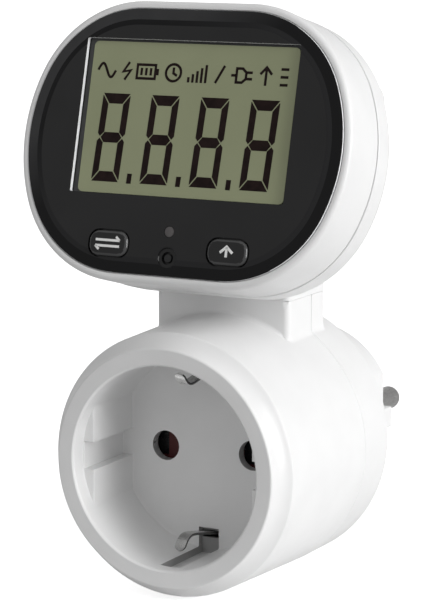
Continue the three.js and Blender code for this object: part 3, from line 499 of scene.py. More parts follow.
class Nodes:
    """A small helper that adds nodes to one material, with object coordinates in metres."""

    def __init__(self, name):
        self.material = bpy.data.materials.new(name)
        self.material.use_nodes = True
        self.tree = self.material.node_tree
        self.shader = self.tree.nodes["Principled BSDF"]
        self.place = self.add("ShaderNodeTexCoord").outputs["Object"]

    def add(self, kind, **settings):
        node = self.tree.nodes.new(kind)
        for key, value in settings.items():
            setattr(node, key, value)
        return node

    def link(self, source, target):
        self.tree.links.new(source, target)

    def fixed(self, **values):
        for key, value in values.items():
            self.shader.inputs[key.replace("_", " ")].default_value = value

    def noise(self, size, detail=3.0, stretch=(1, 1, 1)):
        """Noise with features about size millimetres across, longer where stretch is small."""
        mapping = self.add("ShaderNodeMapping")
        mapping.inputs["Scale"].default_value = stretch
        self.link(self.place, mapping.inputs["Vector"])
        texture = self.add("ShaderNodeTexNoise")
        texture.inputs["Scale"].default_value = 1 / (size * MM)
        texture.inputs["Detail"].default_value = detail
        self.link(mapping.outputs["Vector"], texture.inputs["Vector"])
        return texture.outputs["Fac"]

    def spread(self, source, start, stop, low=0.35, high=0.65):
        """Maps a texture's usual range to start and stop."""
        node = self.add("ShaderNodeMapRange")
        for key, value in (("From Min", low), ("From Max", high), ("To Min", start), ("To Max", stop)):
            node.inputs[key].default_value = value
        self.link(source, node.inputs["Value"])
        return node.outputs["Result"]

    def blend(self, share, first, second):
        """A colour between two others."""
        node = self.add("ShaderNodeMix", data_type="RGBA")
        node.inputs["A"].default_value = (*first, 1)
        node.inputs["B"].default_value = (*second, 1)
        self.link(share, node.inputs["Factor"])
        return node.outputs["Result"]

    def color(self, source):
        self.link(source, self.shader.inputs["Base Color"])

    def roughness(self, source):
        self.link(source, self.shader.inputs["Roughness"])

    def bump(self, *layers):
        """Relief from (height texture, depth in millimetres) pairs."""
        below = None
        for height, depth in layers:
            node = self.add("ShaderNodeBump")
            node.inputs["Distance"].default_value = depth * MM
            node.inputs["Strength"].default_value = 1.0
            self.link(height, node.inputs["Height"])
            if below:
                self.link(below, node.inputs["Normal"])
            below = node.outputs["Normal"]
        self.link(below, self.shader.inputs["Normal"])


def surface(name, tone, first, second, gloss, relief, **fixed):
    """A material that wanders between two colours and, over gloss, two roughnesses.
    tone, the first entry of gloss and that of each relief row are the arguments of a noise."""
    nodes = Nodes(name)
    nodes.color(nodes.blend(nodes.spread(nodes.noise(*tone), 0, 1), first, second))
    nodes.roughness(nodes.spread(nodes.noise(*gloss[0]), *gloss[1:]))
    nodes.bump(*((nodes.noise(*grain), depth) for grain, depth in relief))
    nodes.fixed(**fixed)
    return nodes.material


def darkened(color, share):
    return tuple(c * share for c in color)


def moulded_plastic(name, color, roughness, grain=0.0016, variation=0.03):
    """Satin moulded plastic: fine spark-eroded grain, slow waves from the mould and slight gloss changes."""
    gloss = ((2.5, 4), roughness - 0.05, roughness + 0.06)
    relief = (((6, 1), 0.012), ((0.22, 3), grain))
    return surface(name, (9, 2), darkened(color, 1 - variation), color, gloss, relief)


BORDER_TURN = (0.055, 0.068)


def painted_border_reflection(name, plain, upper_left):
    """Painted reflection for the plate's sloping border: a tone that turns towards the upper left, over
    BORDER_TURN in metres, standing for what the border reflects.
    """
    nodes = Nodes(name)
    axis = nodes.add("ShaderNodeVectorMath", operation="DOT_PRODUCT")
    axis.inputs[1].default_value = (-0.6, 0, 0.8)
    nodes.link(nodes.place, axis.inputs[0])
    share = nodes.spread(axis.outputs["Value"], 0, 1, *BORDER_TURN)
    mottled = nodes.add("ShaderNodeMath", operation="MULTIPLY")
    nodes.link(share, mottled.inputs[0])
    nodes.link(nodes.spread(nodes.noise(5, 3), 0.85, 1), mottled.inputs[1])
    nodes.color(nodes.blend(mottled.outputs["Value"], plain, upper_left))
    nodes.roughness(nodes.spread(nodes.noise(3, 4, (0.25, 1, 1)), 0.08, 0.18))
    nodes.bump((nodes.noise(11, 1), 0.004))
    nodes.fixed(IOR=1.3)
    return nodes.material


def metal(name, color, roughness, scratch=(1, 0.05, 1), worn=0.12):
    """Plated metal with fine drawing marks along one direction and duller patches."""
    nodes = Nodes(name)
    nodes.color(nodes.blend(nodes.spread(nodes.noise(1.6, 4), 0, 1), darkened(color, 0.88), color))
    lines = nodes.noise(0.12, 3, scratch)
    nodes.roughness(nodes.spread(lines, roughness - 0.06, roughness + worn))
    nodes.bump((nodes.noise(2.5, 1), 0.003), (lines, 0.0003))
    nodes.fixed(Metallic=1.0)
    return nodes.material


def circuit_board():
    """Green solder mask that stands a little higher over copper tracks."""
    nodes = Nodes("circuit_board")
    tracks = nodes.add("ShaderNodeTexVoronoi", feature="DISTANCE_TO_EDGE", distance="CHEBYCHEV")
    tracks.inputs["Scale"].default_value = 1 / (2.2 * MM)
    nodes.link(nodes.place, tracks.inputs["Vector"])
    raised = nodes.spread(tracks.outputs["Distance"], 1, 0, 0.08, 0.1)
    nodes.color(nodes.blend(raised, (0.012, 0.075, 0.03), (0.03, 0.17, 0.06)))
    nodes.roughness(nodes.spread(nodes.noise(0.6, 3), 0.25, 0.4))
    nodes.bump((raised, 0.03))
    return nodes.material


def rubber():
    """Layered grey rubber with thin dark conductive stripes."""
    nodes = Nodes("grey_rubber")
    stripes = nodes.add("ShaderNodeTexWave", bands_direction="X")
    stripes.inputs["Scale"].default_value = 0.31 / (0.25 * MM)
    nodes.link(nodes.place, stripes.inputs["Vector"])
    nodes.color(nodes.blend(stripes.outputs["Fac"], (0.09, 0.092, 0.1), (0.02, 0.02, 0.022)))
    nodes.roughness(nodes.spread(nodes.noise(0.4, 3), 0.7, 0.85))
    nodes.bump((nodes.noise(0.2, 3), 0.01))
    return nodes.material


def floor_paper():
    """White paper that glows a little, as a light table does, and is nearly white in the picture."""
    nodes = Nodes("floor_paper")
    nodes.fixed(Emission_Color=(1, 1, 1, 1))
    seen = nodes.add("ShaderNodeLightPath").outputs["Is Camera Ray"]
    nodes.link(nodes.spread(seen, 0, 0.75, 0, 1), nodes.shader.inputs["Emission Strength"])
    nodes.color(nodes.blend(nodes.spread(nodes.noise(300, 3), 0, 1), (0.86, 0.86, 0.86), (0.88, 0.88, 0.88)))
    nodes.roughness(nodes.spread(nodes.noise(40, 3), 0.85, 0.95))
    return nodes.material


WHITE = moulded_plastic("white_abs", (0.88, 0.88, 0.88), 0.36)
# Painted reflections on the plate's sloping border: a band, and a line just inside it, whose tones turn
# lighter or darker towards the upper left.
BORDER_REFLECTION = painted_border_reflection("border_painted_reflection", (0.007, 0.007, 0.0075), (0.045, 0.045, 0.0465))
BORDER_LINE_REFLECTION = painted_border_reflection("border_line_painted_reflection", (0.02, 0.02, 0.021), (0.006, 0.006, 0.0065))
# Painted highlight: a lighter black for the buttons' rounded cap edges, standing for the light they catch.
CAP_EDGE_HIGHLIGHT = moulded_plastic("button_edge_painted_highlight", (0.07, 0.07, 0.071), 0.14, 0.0012, 0.3)
# Painted shade: a mid grey for the housing's pockets, slot sides and pin-hole walls, standing for the shade
# inside them.
SHADE = moulded_plastic("painted_shade_grey", (0.46, 0.46, 0.46), 0.55, 0.003, 0.08)
# Painted shade: a near-black for the earth clips' side edges, standing for the dark outline around them.
CLIP_EDGE_SHADE = moulded_plastic("clip_edge_painted_shade", (0.07, 0.07, 0.07), 0.4, 0.004, 0.3)
CAP_BLACK = moulded_plastic("button_black", (0.012, 0.012, 0.0125), 0.17, 0.0012, 0.2)
BLACK = moulded_plastic("black_satin", (0.014, 0.014, 0.015), 0.3, 0.0022, 0.2)
RED = moulded_plastic("red_plastic", (0.075, 0.004, 0.004), 0.6, 0.003, 0.15)
INNER = moulded_plastic("inner_plastic", (0.6, 0.58, 0.53), 0.5, 0.004, 0.06)
INDICATOR = moulded_plastic("indicator_lens", (0.105, 0.098, 0.098), 0.28, 0.001, 0.1)
CAPACITOR = moulded_plastic("capacitor_case", (0.55, 0.35, 0.03), 0.4, 0.006, 0.1)
RIBBON = moulded_plastic("ribbon_jacket", (0.25, 0.27, 0.3), 0.55, 0.006, 0.08)
NICKEL = metal("nickel", (0.70, 0.70, 0.69), 0.24)
# Two copies of one nickel for the earth clips: a lighter one as painted light and a darker one as painted
# shade.
NICKEL_PAINTED_LIGHT = metal("nickel_painted_light", (0.97, 0.97, 0.96), 0.3, worn=0.04)
NICKEL_PAINTED_SHADE = metal("nickel_painted_shade", (0.46, 0.46, 0.455), 0.3, worn=0.08)
PIN_METAL = metal("pin_nickel", (0.42, 0.415, 0.41), 0.24)
BRASS = metal("brass", (0.60, 0.42, 0.16), 0.3)
STEEL = metal("steel", (0.42, 0.43, 0.45), 0.32, (1, 1, 1))
BOARD = circuit_board()
RUBBER = rubber()

# Back-printed black acrylic: a hard gloss with faint polishing marks and a few hairline scratches.
ACRYLIC_BLACK = (0.012, 0.012, 0.0125)
GLOSS = surface("black_acrylic", (14, 2), darkened(ACRYLIC_BLACK, 0.75), ACRYLIC_BLACK,
                ((3, 4, (0.25, 1, 1)), 0.07, 0.16),
                (((11, 1), 0.004), ((0.35, 2, (0.12, 1, 1)), 0.0004)), IOR=1.49)
# The acrylic's polished cut edge, painted pale: partly the clear edge's own look, partly a painted highlight
# along the plate's outer edge and the window's walls.
EDGE = surface("acrylic_edge_painted_highlight", (1.2, 3), (0.80, 0.81, 0.82), (0.95, 0.95, 0.96),
               ((0.5, 3), 0.12, 0.3), (((0.3, 2, (1, 0.2, 1)), 0.003),))
# The olive polariser: very fine cell grain, a soft unevenness and a smooth front.
FILM = surface("lcd_polariser", (16, 2), (0.295, 0.318, 0.185), (0.315, 0.338, 0.20),
               ((0.4, 3), 0.3, 0.42), (((0.14, 2), 0.0012),), Coat_Weight=0.35, Coat_Roughness=0.08)
# Liquid crystal that is switched on: nearly black with a warm cast.
INK = surface("lcd_segment", (1.5, 3), (0.012, 0.0065, 0.006), (0.02, 0.011, 0.01),
              ((0.5, 2), 0.38, 0.5), (((0.14, 2), 0.0012),), IOR=1.2)
# The dark slate border printed round the display.
MASK = surface("lcd_border", (4, 3), (0.040, 0.041, 0.041), (0.049, 0.050, 0.050),
               ((1, 3), 0.3, 0.45), (((0.2, 2), 0.001),))
# Pad-printed ink, slightly uneven in thickness.
WHITE_INK = surface("white_ink", (0.5, 4), (0.88, 0.88, 0.87), (0.96, 0.96, 0.95),
                    ((0.4, 3), 0.4, 0.6), (((0.12, 3), 0.003),))

SLOT_MATERIALS = {
    "white_plastic": WHITE, "gloss_black": GLOSS, "black_plastic": BLACK, "red_plastic": RED,
    "inner_plastic": INNER, "lcd_glass": FILM, "indicator_plastic": INDICATOR, "circuit_board": BOARD,
    "capacitor_case": CAPACITOR, "grey_rubber": RUBBER, "ribbon_jacket": RIBBON,
    "nickel_plated": NICKEL, "brass_contact": BRASS, "steel": STEEL,
}


def dress_cad_nodes():
    """Gives every CAD node the material of its slot in the record."""
    for entry in frame["record"]["subparts"]:
        materials = frame["nodes"][entry["node"]].data.materials
        materials.clear()
        materials.append(SLOT_MATERIALS[entry["material_slot"]])


# ---- plug, pins and earth parts

def plug_body():
    front_y = BACK_Y - WALL - 2.3
    back_y = front_y + 2

    def outline(inset):
        radius = PLUG_R - inset
        turn = math.degrees(math.acos((PLUG_FLAT_X - inset) / radius))
        return arc(0, 0, radius, turn, 180 - turn, 60) + arc(0, 0, radius, 180 + turn, 360 - turn, 60)

    count = len(outline(0))
    levels = [(0, back_y), (0, -PLUG_EDGE_R)]
    levels += [(PLUG_EDGE_R * out, -PLUG_EDGE_R * back) for out, back in rounding(6, 1)]
    rings = [at(circle(15.3, 0, 0, count), -3), at(circle(15.3, 0, 0, count), front_y)]
    rings += [at(circle(21, 0, 0, count), front_y), at(circle(21, 0, 0, count), back_y)]
    rings += [at(outline(inset), y) for inset, y in levels]
    body = skin("plug_shell", rings)
    ribs = []
    for side in (1, -1):
        middle = side * (PLUG_RIB_X - 1.5)
        outline_rib = rounded(1.5, PLUG_RIB_HALF, 0.4, middle, 0, 4)
        rib = [at(outline_rib, back_y), at(outline_rib, -0.5)]
        rib.append(at(rounded(1.2, PLUG_RIB_HALF - 0.3, 0.3, middle, 0, 4), 0))
        ribs.append(skin("rib", rib))
    collars = [bar("collar", 4.2, -8, -1, side * PIN_X, 0, 48) for side in (1, -1)]
    combine(body, "UNION", *ribs, *collars)
    cuts = []
    for side in (1, -1):
        cuts.append(block("channel", -2.5, 2.5, front_y - 1, -2, side * 16.9, side * 22))
        cuts.append(turned("pin_hole", [(0, -9), (2.55, -9), (2.55, -0.4), (2.95, 0), (2.95, 1), (0, 1)],
                           side * PIN_X, 0, 48))
    combine(body, "DIFFERENCE", *cuts)
    tidy(body.data)
    finished(body, WHITE, ["plug_body"])


def pin(name, side, node):
    flange_y = -8.3
    profile = [(0, low(node).y), (1.4, low(node).y), (1.4, flange_y - 1.6), (3.2, flange_y - 1.6)]
    profile += [(3.4, flange_y - 1.4), (3.4, flange_y - 0.2), (3.2, flange_y), (PIN_R, flange_y)]
    profile += [(PIN_R, PIN_END_Y - PIN_R)]
    for turn in range(10, 90, 10):
        angle = math.radians(turn)
        profile.append((PIN_R * math.cos(angle), PIN_END_Y - PIN_R * (1 - math.sin(angle))))
    profile.append((0, PIN_END_Y))
    finished(turned(name, profile, side * PIN_X), PIN_METAL, [node])


def shutter():
    """A two-lobed disc behind the floor, with a shallow pocket off centre in each lobe; the pockets' floors
    are painted black as painted shade.
    """
    front = low("safety_shutter").y
    back = high("safety_shutter").y
    lobe_r = high("safety_shutter").x
    outline = arc(0, 0, lobe_r, -21, 21, 16) + arc(0, 0, 3.4, 50, 130, 10)
    outline += arc(0, 0, lobe_r, 159, 201, 16) + arc(0, 0, 3.4, 230, 310, 10)
    rings = [[(x * (1 - shrink / lobe_r), y, z * (1 - shrink / lobe_r)) for x, z in outline]
             for shrink, y in ((0.15, front), (0, front + 0.15), (0, back - 0.15), (0.15, back))]
    disc = skin("shutter_disc", rings)
    cuts = [bar("post_hole", 1.8, front - 1, back + 1, 0, 0, 32)]
    for x in (-PIN_X, PIN_X):
        cuts.append(slab("pocket", rounded(1.5, 2.6, 0.5, x - 2.05, 0, 5), front - 1, back - 0.3))
    combine(disc, "DIFFERENCE", *cuts)
    finished(disc, RED, ["safety_shutter"], "safety_shutter")

    def pocket_floor_painted_shade(centre, normal):
        return front + 0.2 < centre.y < back - 0.2 and abs(centre.z) < 2.7 and abs(normal.y) > 0.9

    # Painted shade: the pockets' floors are painted black.
    paint(disc, BLACK, pocket_floor_painted_shade)


def strip(name, stations, thickness, edge=0.12):
    """A flat metal strip through [y, z, half width] stations, its width along X, with softened edges."""
    rings = []
    for i, (y, z, half) in enumerate(stations):
        before = stations[max(i - 1, 0)]
        after = stations[min(i + 1, len(stations) - 1)]
        along = Vector((after[0] - before[0], after[1] - before[1])).normalized()
        across = Vector((-along.y, along.x))
        section = rounded(half, thickness / 2, edge, 0, 0, 3)
        rings.append([(x, y + across.x * t, z + across.y * t) for x, t in section])
    return skin(name, rings)


def curve_through(points, steps):
    """A Catmull-Rom line through the points."""
    def between(a, b, c, d, t):
        square = (2 * a - 5 * b + 4 * c - d) * t * t
        return 0.5 * (2 * b + (c - a) * t + square + (3 * b - a - 3 * c + d) * t ** 3)

    path = []
    padded = [points[0], *points, points[-1]]
    for four in zip(padded, padded[1:], padded[2:], padded[3:]):
        path += [tuple(between(*part, i / steps) for part in zip(*four)) for i in range(steps)]
    return path + [tuple(points[-1])]


def earth_clip(name, side, material):
    """A spring finger: forward through its hole, over a rounded bend and outward to a narrow tip."""
    half = 1.15
    points = [(-42.0, 17.4), (-43.4, 16.75), (-45.8, 16.3), (-49.5, 15.5), (-53.0, 14.85), (-54.7, 14.8),
              (-55.8, 15.2), (-56.6, 15.9), (-57.2, 16.6), (-57.6, 17.2)]
    line = curve_through(points, 6)
    stations = []
    end = Vector(line[-1])
    for y, z in line:
        reach = min((end - Vector((y, z))).length / half, 1)
        narrow = max(half * math.sqrt(max(1 - (1 - reach) ** 2, 0)), 0.25)
        stations.append((y, side * z, narrow))
    clip = strip(name, stations, 0.5)
    finished(clip, material, [name], name)
    # Painted shade: the part of the finger deeper in the recess gets the darker nickel.
    paint(clip, NICKEL_PAINTED_SHADE, lambda centre, normal: centre.y > -54.5)
    # Painted shade: the strip's side edges get the near-black.
    paint(clip, CLIP_EDGE_SHADE, lambda centre, normal: abs(normal.x) > 0.7)


def earth_frame():
    """Two legs from the clips to the plug's side contacts, joined by a bridge."""
    half = 2.1
    legs = []
    for side in (1, -1):
        stations = [(y, side * EARTH_Z, half) for y in (low("earth_frame").y, -30, -12, -5)]
        for turn in range(15, 91, 15):
            angle = math.radians(turn)
            stations.append((-5 + 2 * math.sin(angle), side * EARTH_Z, half * (0.3 + 0.7 * math.cos(angle))))
        legs.append(strip("leg", stations, 0.8, 0.2))
    bridge = block("bridge", -half, half, -34.4, -33.6, -EARTH_Z, EARTH_Z)
    combine(legs[0], "UNION", legs[1], bridge)
    legs[0].name = "earth_strap"
    finished(legs[0], NICKEL, ["earth_frame"])


def cross_screw(name, node, radius, length, top, matrix=None):
    """A pan-head screw with a cross recess, standing in place of a plain one."""
    centre = (low(node) + high(node)) / 2
    if matrix:
        centre = matrix.inverted() @ centre
    profile = [(0, top), (radius * 0.45, top - 0.04), (radius * 0.8, top - 0.22), (radius * 0.97, top - 0.55)]
    profile += [(radius, top - 0.8), (radius, top - 1.6), (radius * 0.55, top - 1.6)]
    profile += [(radius * 0.55, top - length + 0.8), (0, top - length)]
    body = turned(name, profile, centre.x, centre.z, 40, matrix)
    cuts = []
    for turn in (0, 90):
        rings = []
        for y, half, reach in ((top + 0.5, 0.28, radius * 0.62), (top - 0.9, 0.2, radius * 0.3)):
            spin = Matrix.Rotation(math.radians(turn + 20), 2)
            corners = [(-reach, -half), (reach, -half), (reach, half), (-reach, half)]
            flat = [spin @ Vector(p) for p in corners]
            rings.append([(centre.x + p.x, y, centre.z + p.y) for p in flat])
        cuts.append(skin("cross", rings, matrix=matrix))
    combine(body, "DIFFERENCE", *cuts)
    finished(body, STEEL, [node])


# ---- display head

def head_rings(levels):
    return [at(head_outline(offset), y) for offset, y in levels]


def head_front_shell():
    seat = 0.95
    crest = 0.45
    levels = [(0, seat), (0, crest + 0.15)] + arc(0.15, crest + 0.15, 0.15, 180, 270, 4)
    levels += arc(BEZEL - RIM_R, crest + RIM_R, RIM_R, 270, 360, 10)
    levels += [(BEZEL, HEAD_SEAM - PARTING_EDGE), (BEZEL - PARTING_EDGE, HEAD_SEAM)]
    levels += [(BEZEL - HEAD_WALL, HEAD_SEAM), (BEZEL - HEAD_WALL, 2.2), (-0.9, 2.2), (-0.9, seat)]
    shell = skin("head_bezel", head_rings(levels), loop=True, matrix=HEAD)
    for x, z in POSTS:
        outward = math.copysign(1, x)
        wall_x = x + outward * (RIB_REACH_UPPER if z > 0 else RIB_REACH_LOWER)
        post = bar("post", 2.4, 1.6, HEAD_SEAM, x, z, 24, HEAD)
        rib = block("rib", x, wall_x, 1.7, HEAD_SEAM - 0.1, z - 0.8, z + 0.8, HEAD)
        combine(shell, "UNION", post, rib)
        combine(shell, "DIFFERENCE", bar("hole", 1.4, 3.5, HEAD_SEAM + 1, x, z, 24, HEAD))
    tidy(shell.data)
    finished(shell, WHITE, ["head_front_shell"])


def head_back_levels(offset, back):
    radius = HEAD_BACK_R - (0 if offset > 0 else 1)
    return arc(offset - radius, back - radius, radius, 0, 90, 10)


def foot_column(name, inset, z0, z1, edge=0.0):
    def outline(shrink):
        total = inset + shrink
        corner = max(NECK_EDGE_R - total, 0.3)
        return rounded(NECK_HALF_WIDTH - total, NECK_HALF_DEPTH - total, corner, 0, NECK_MIDDLE_Y, 8)

    levels = [(edge, z0), (0, z0 + edge), (0, z1)] if edge else [(0, z0), (0, z1)]
    return pillar(name, outline, levels)


def head_rear_shell():
    front = HEAD_SEAM + 0.3
    outer = BEZEL + REAR_STEP
    inner = outer - HEAD_WALL
    levels = [(outer - PARTING_EDGE, front), (outer, front + PARTING_EDGE)]
    levels += head_back_levels(outer, HEAD_DEPTH)
    inside = [(inner, front)] + head_back_levels(inner, HEAD_DEPTH - HEAD_WALL)
    shell = skin("head_back", head_rings(inside[::-1] + levels), matrix=HEAD)
    foot = foot_column("foot", 0, NECK_TOP + 0.03, 60, 0.04)
    slope = block("slope", -20, 20, 0, 30, -30, 30)
    slope_place = Matrix.Translation(Vector((0, NECK_BACK_Y - 1, 44)) * MM)
    slope.data.transform(slope_place @ Matrix.Rotation(math.radians(40), 4, "X"))
    hollow = skin("hollow", head_rings([(inner, front - 1)] + inside[1:]), matrix=HEAD)
    ahead = block("ahead", -50, 50, -60, front + 1, -50, 50, HEAD)
    combine(foot, "DIFFERENCE", slope, hollow, ahead)
    tongue = foot_column("tongue", NECK_WALL + 0.3, 23, NECK_TOP + 2)
    bosses = [bar("boss", 3.9, front, HEAD_DEPTH - 0.8, x, z, 32, HEAD) for x, z in POSTS]
    combine(shell, "UNION", foot, tongue, *bosses)
    passage = foot_column("passage", NECK_WALL + 2, 20, 44.5)
    window_front = NECK_FRONT_Y + NECK_WALL
    window = block("window", -7, 7, window_front - 8, window_front + 3, 37, 44)
    cuts = [passage, window]
    for x, z in POSTS:
        cuts.append(bar("hole", 1.4, front - 1, 30, x, z, 24, HEAD))
        cuts.append(bar("counterbore", 2.7, front + 1.8, 30, x, z, 40, HEAD))
    combine(shell, "DIFFERENCE", *cuts)
    tidy(shell.data)
    finished(shell, WHITE, ["head_rear_shell"])


def face_panel():
    """The glossy plate, with a slightly sloping border band and a line just inside it, both given painted
    reflection tones.
    """
    levels = [(-0.25, 0.8), (-0.15, 0.7), (-0.15, 0.5)] + arc(-0.4, 0.5, 0.25, 360, 280, 5)
    levels += [(-2.3, BORDER_SLOPE_Y), (-2.55, 0.1), (-2.95, 0.04), (-3.35, 0.0)]
    panel = skin("face_plate", head_rings(levels), matrix=HEAD)
    x0, x1, z0, z1 = WINDOW
    opening = rounded((x1 - x0) / 2, (z1 - z0) / 2, 0.35, (x0 + x1) / 2, (z0 + z1) / 2, 4)
    cuts = [slab("window", opening, -1, 2, HEAD)]
    for side in (1, -1):
        cuts.append(button_shape("button_hole", side * BUTTON_X, [(-0.3, -1), (-0.3, 2)]))
    cuts.append(turned("dish", [(0, -1), (2.15, -1), (2.15, 0), (1.95, 0.12), (1.8, 0.45), (0, 0.45)],
                       0, RESET_Z, 64, HEAD))
    cuts.append(bar("reset_hole", 1.2, -1, 2, 0, RESET_Z, 48, HEAD))
    cuts.append(bar("indicator_hole", 1.05, -1, 2, 0, INDICATOR_Z, 48, HEAD))
    combine(panel, "DIFFERENCE", *cuts)
    tidy(panel.data)
    finished(panel, GLOSS, ["face_panel"])

    def window_wall(centre, normal):
        inside = x0 - 0.1 < centre.x < x1 + 0.1 and z0 - 0.1 < centre.z < z1 + 0.1
        return inside and abs(normal.y) < 0.3

    def outer_wall(centre, normal):
        return abs(normal.y) < 0.8 and normal.x * centre.x + normal.z * centre.z > OUTER_WALL_REACH

    # Painted highlight: the window's walls and the plate's outer wall get the pale edge material.
    paint(panel, EDGE, window_wall, HEAD)
    paint(panel, EDGE, outer_wall, HEAD)
    # Painted reflection: the border band and the line inside it get tones standing for what the glossy slope
    # reflects.
    for material, y0, y1 in ((BORDER_REFLECTION, BORDER_SLOPE_Y, 0.3), (BORDER_LINE_REFLECTION, 0.002, BORDER_SLOPE_Y)):
        paint(panel, material, lambda centre, normal: y0 < centre.y < y1 and normal.y < -0.6, HEAD)


def button_shape(name, x, levels):
    """A rounded oblong at each of the levels (inset, y), in the head's frame."""
    half_width, half_height = BUTTON_HALF
    rings = []
    for inset, y in levels:
        corner = (half_height - inset) * 0.86
        rings.append(at(rounded(half_width - inset, half_height - inset, corner, x, BUTTON_Z, 12), y))
    return skin(name, rings, matrix=HEAD)


def button(name, x):
    edge = 0.65
    levels = [(0, 1.6), (0, -0.45 + edge)]
    levels += [(edge * out, -0.45 + edge * back) for out, back in rounding(6, 1)]
    levels.append((1.5, CAP_FRONT_Y))
    cap = button_shape(name + "_cap", x, levels)
    flange = button_shape("flange", x, [(-0.9, 1.1), (-0.9, 1.7)])
    stem = bar("stem", 1.6, 1.5, 2.25, x, BUTTON_Z, 32, HEAD)
    combine(cap, "UNION", flange, stem)
    finished(cap, CAP_BLACK, [name], name)
    # Painted highlight: the cap's rounded edge ring gets the lighter black.
    paint(cap, CAP_EDGE_HIGHLIGHT, lambda centre, normal: -0.93 < normal.y < -0.1 and centre.y < 0.3, HEAD)


def reset_button():
    tip = turned("reset_tip", [(0, 0.52), (0.5, 0.54), (0.75, 0.62), (0.85, 0.8), (0.85, 1.1), (1.7, 1.1),
                               (1.7, 1.7), (1, 1.7), (1, 2.25), (0, 2.25)], 0, RESET_Z, 48, HEAD)
    finished(tip, BLACK, ["reset_button"], "reset_button")


def indicator_lens():
    profile = [(0, -0.02), (0.6, 0.0), (0.95, 0.05), (1.03, 0.14), (1.03, 1.1)]
    profile += [(1.4, 1.1), (1.4, 2.2), (0, 2.2)]
    lens = turned("indicator_dome", profile, 0, INDICATOR_Z, 48, HEAD)
    finished(lens, INDICATOR, ["indicator_lens"])


# ---- display and markings

GLASS_FRONT = 1.1
FILM_FRONT = 0.72
INK_THICKNESS = 0.02


def plate(name, x0, x1, z0, z1, y0, y1, edge=0.08, corner=0.3):
    """A thin flat plate with a softened front edge, in the head's frame."""
    cx, cz = (x0 + x1) / 2, (z0 + z1) / 2
    half = ((x1 - x0) / 2, (z1 - z0) / 2)
    rings = [at(rounded(half[0] - inset, half[1] - inset, corner, cx, cz, 6), y)
             for inset, y in ((edge, y0), (0, y0 + edge), (0, y1))]
    return skin(name, rings, matrix=HEAD)


def printed(name, shapes, y):
    """Flat printed shapes, each a closed outline in the face's x and z, as one object."""
    bm = bmesh.new()
    made = [slab(name, shape, y - INK_THICKNESS, y, HEAD) for shape in shapes]
    for obj in made:
        bm.from_mesh(obj.data)
    bm.to_mesh(made[0].data)
    bm.free()
    for obj in made[1:]:
        bpy.data.objects.remove(obj)
    made[0].name = name
    return made[0]


def stroke(points, width, closed=False):
    """The outline of a line of even width through the points."""
    line = [Vector(p) for p in points]
    left, right = [], []
    count = len(line)
    for i, point in enumerate(line):
        before = line[i - 1] if i or closed else point
        after = line[(i + 1) % count] if i < count - 1 or closed else point
        inward = (point - before).normalized() if point != before else (after - point).normalized()
        outward = (after - point).normalized() if after != point else inward
        middle = (inward + outward).normalized()
        side = Vector((-middle.y, middle.x)) * (width / 2 / max(middle.dot(outward), 0.5))
        left.append(tuple(point + side))
        right.append(tuple(point - side))
    if not closed:
        return [left + right[::-1]]
    return [[left[i - 1], left[i], right[i], right[i - 1]] for i in range(count)]


DIGIT_WIDTH = 5.93
DIGIT_HEIGHT = 16.8
DIGIT_PITCH = 10.52
DIGIT_LEFT = -18.54
DIGIT_BOTTOM = -8.06
DIGIT_SLANT = 0.032
BAR_TALL = 1.95
BAR_WIDE = 1.4
BAR_GAP = 0.14


def digit_shapes():
    """The seven bars of one digit, as outlines from its lower left corner."""
    w, h, t, b, g = DIGIT_WIDTH, DIGIT_HEIGHT, BAR_TALL, BAR_WIDE, BAR_GAP
    mid = h / 2
    top = [(0.06, h), (w - 0.06, h), (w - b - g, h - t), (b + g, h - t)]
    x0, x1 = b + g - 0.1, w - b - g + 0.1
    middle = [(0.55 + g, mid), (x0, mid + t / 2), (x1, mid + t / 2),
              (w - 0.55 - g, mid), (x1, mid - t / 2), (x0, mid - t / 2)]
    side = [(0, h - 0.5), (0.08, h - 0.4), (b - 0.06, h - t - 0.12), (b - 0.06, mid + t / 2 + 0.05),
            (0.5, mid + 0.16), (0, mid + 0.75)]
    shapes = [top, [(x, h - z) for x, z in top], middle]
    for flip_x in (False, True):
        for flip_z in (False, True):
            shapes.append([(w - x if flip_x else x, h - z if flip_z else z) for x, z in side])
    return shapes


def display_digits():
    shapes = []
    for place in range(4):
        left = DIGIT_LEFT + place * DIGIT_PITCH
        for shape in digit_shapes():
            shapes.append([(left + x + z * DIGIT_SLANT, DIGIT_BOTTOM + z) for x, z in shape])
        if place < 3:
            dot = left + DIGIT_WIDTH + 1.75
            shapes.append([(dot, DIGIT_BOTTOM - 0.15), (dot + 1.0, DIGIT_BOTTOM - 0.15),
                           (dot + 1.06, DIGIT_BOTTOM + 1.75), (dot + 0.06, DIGIT_BOTTOM + 1.75)])
    return shapes


SYMBOL_BASE = 11.4
SYMBOL_TALL = 3.4
SYMBOL_STROKE = 0.5


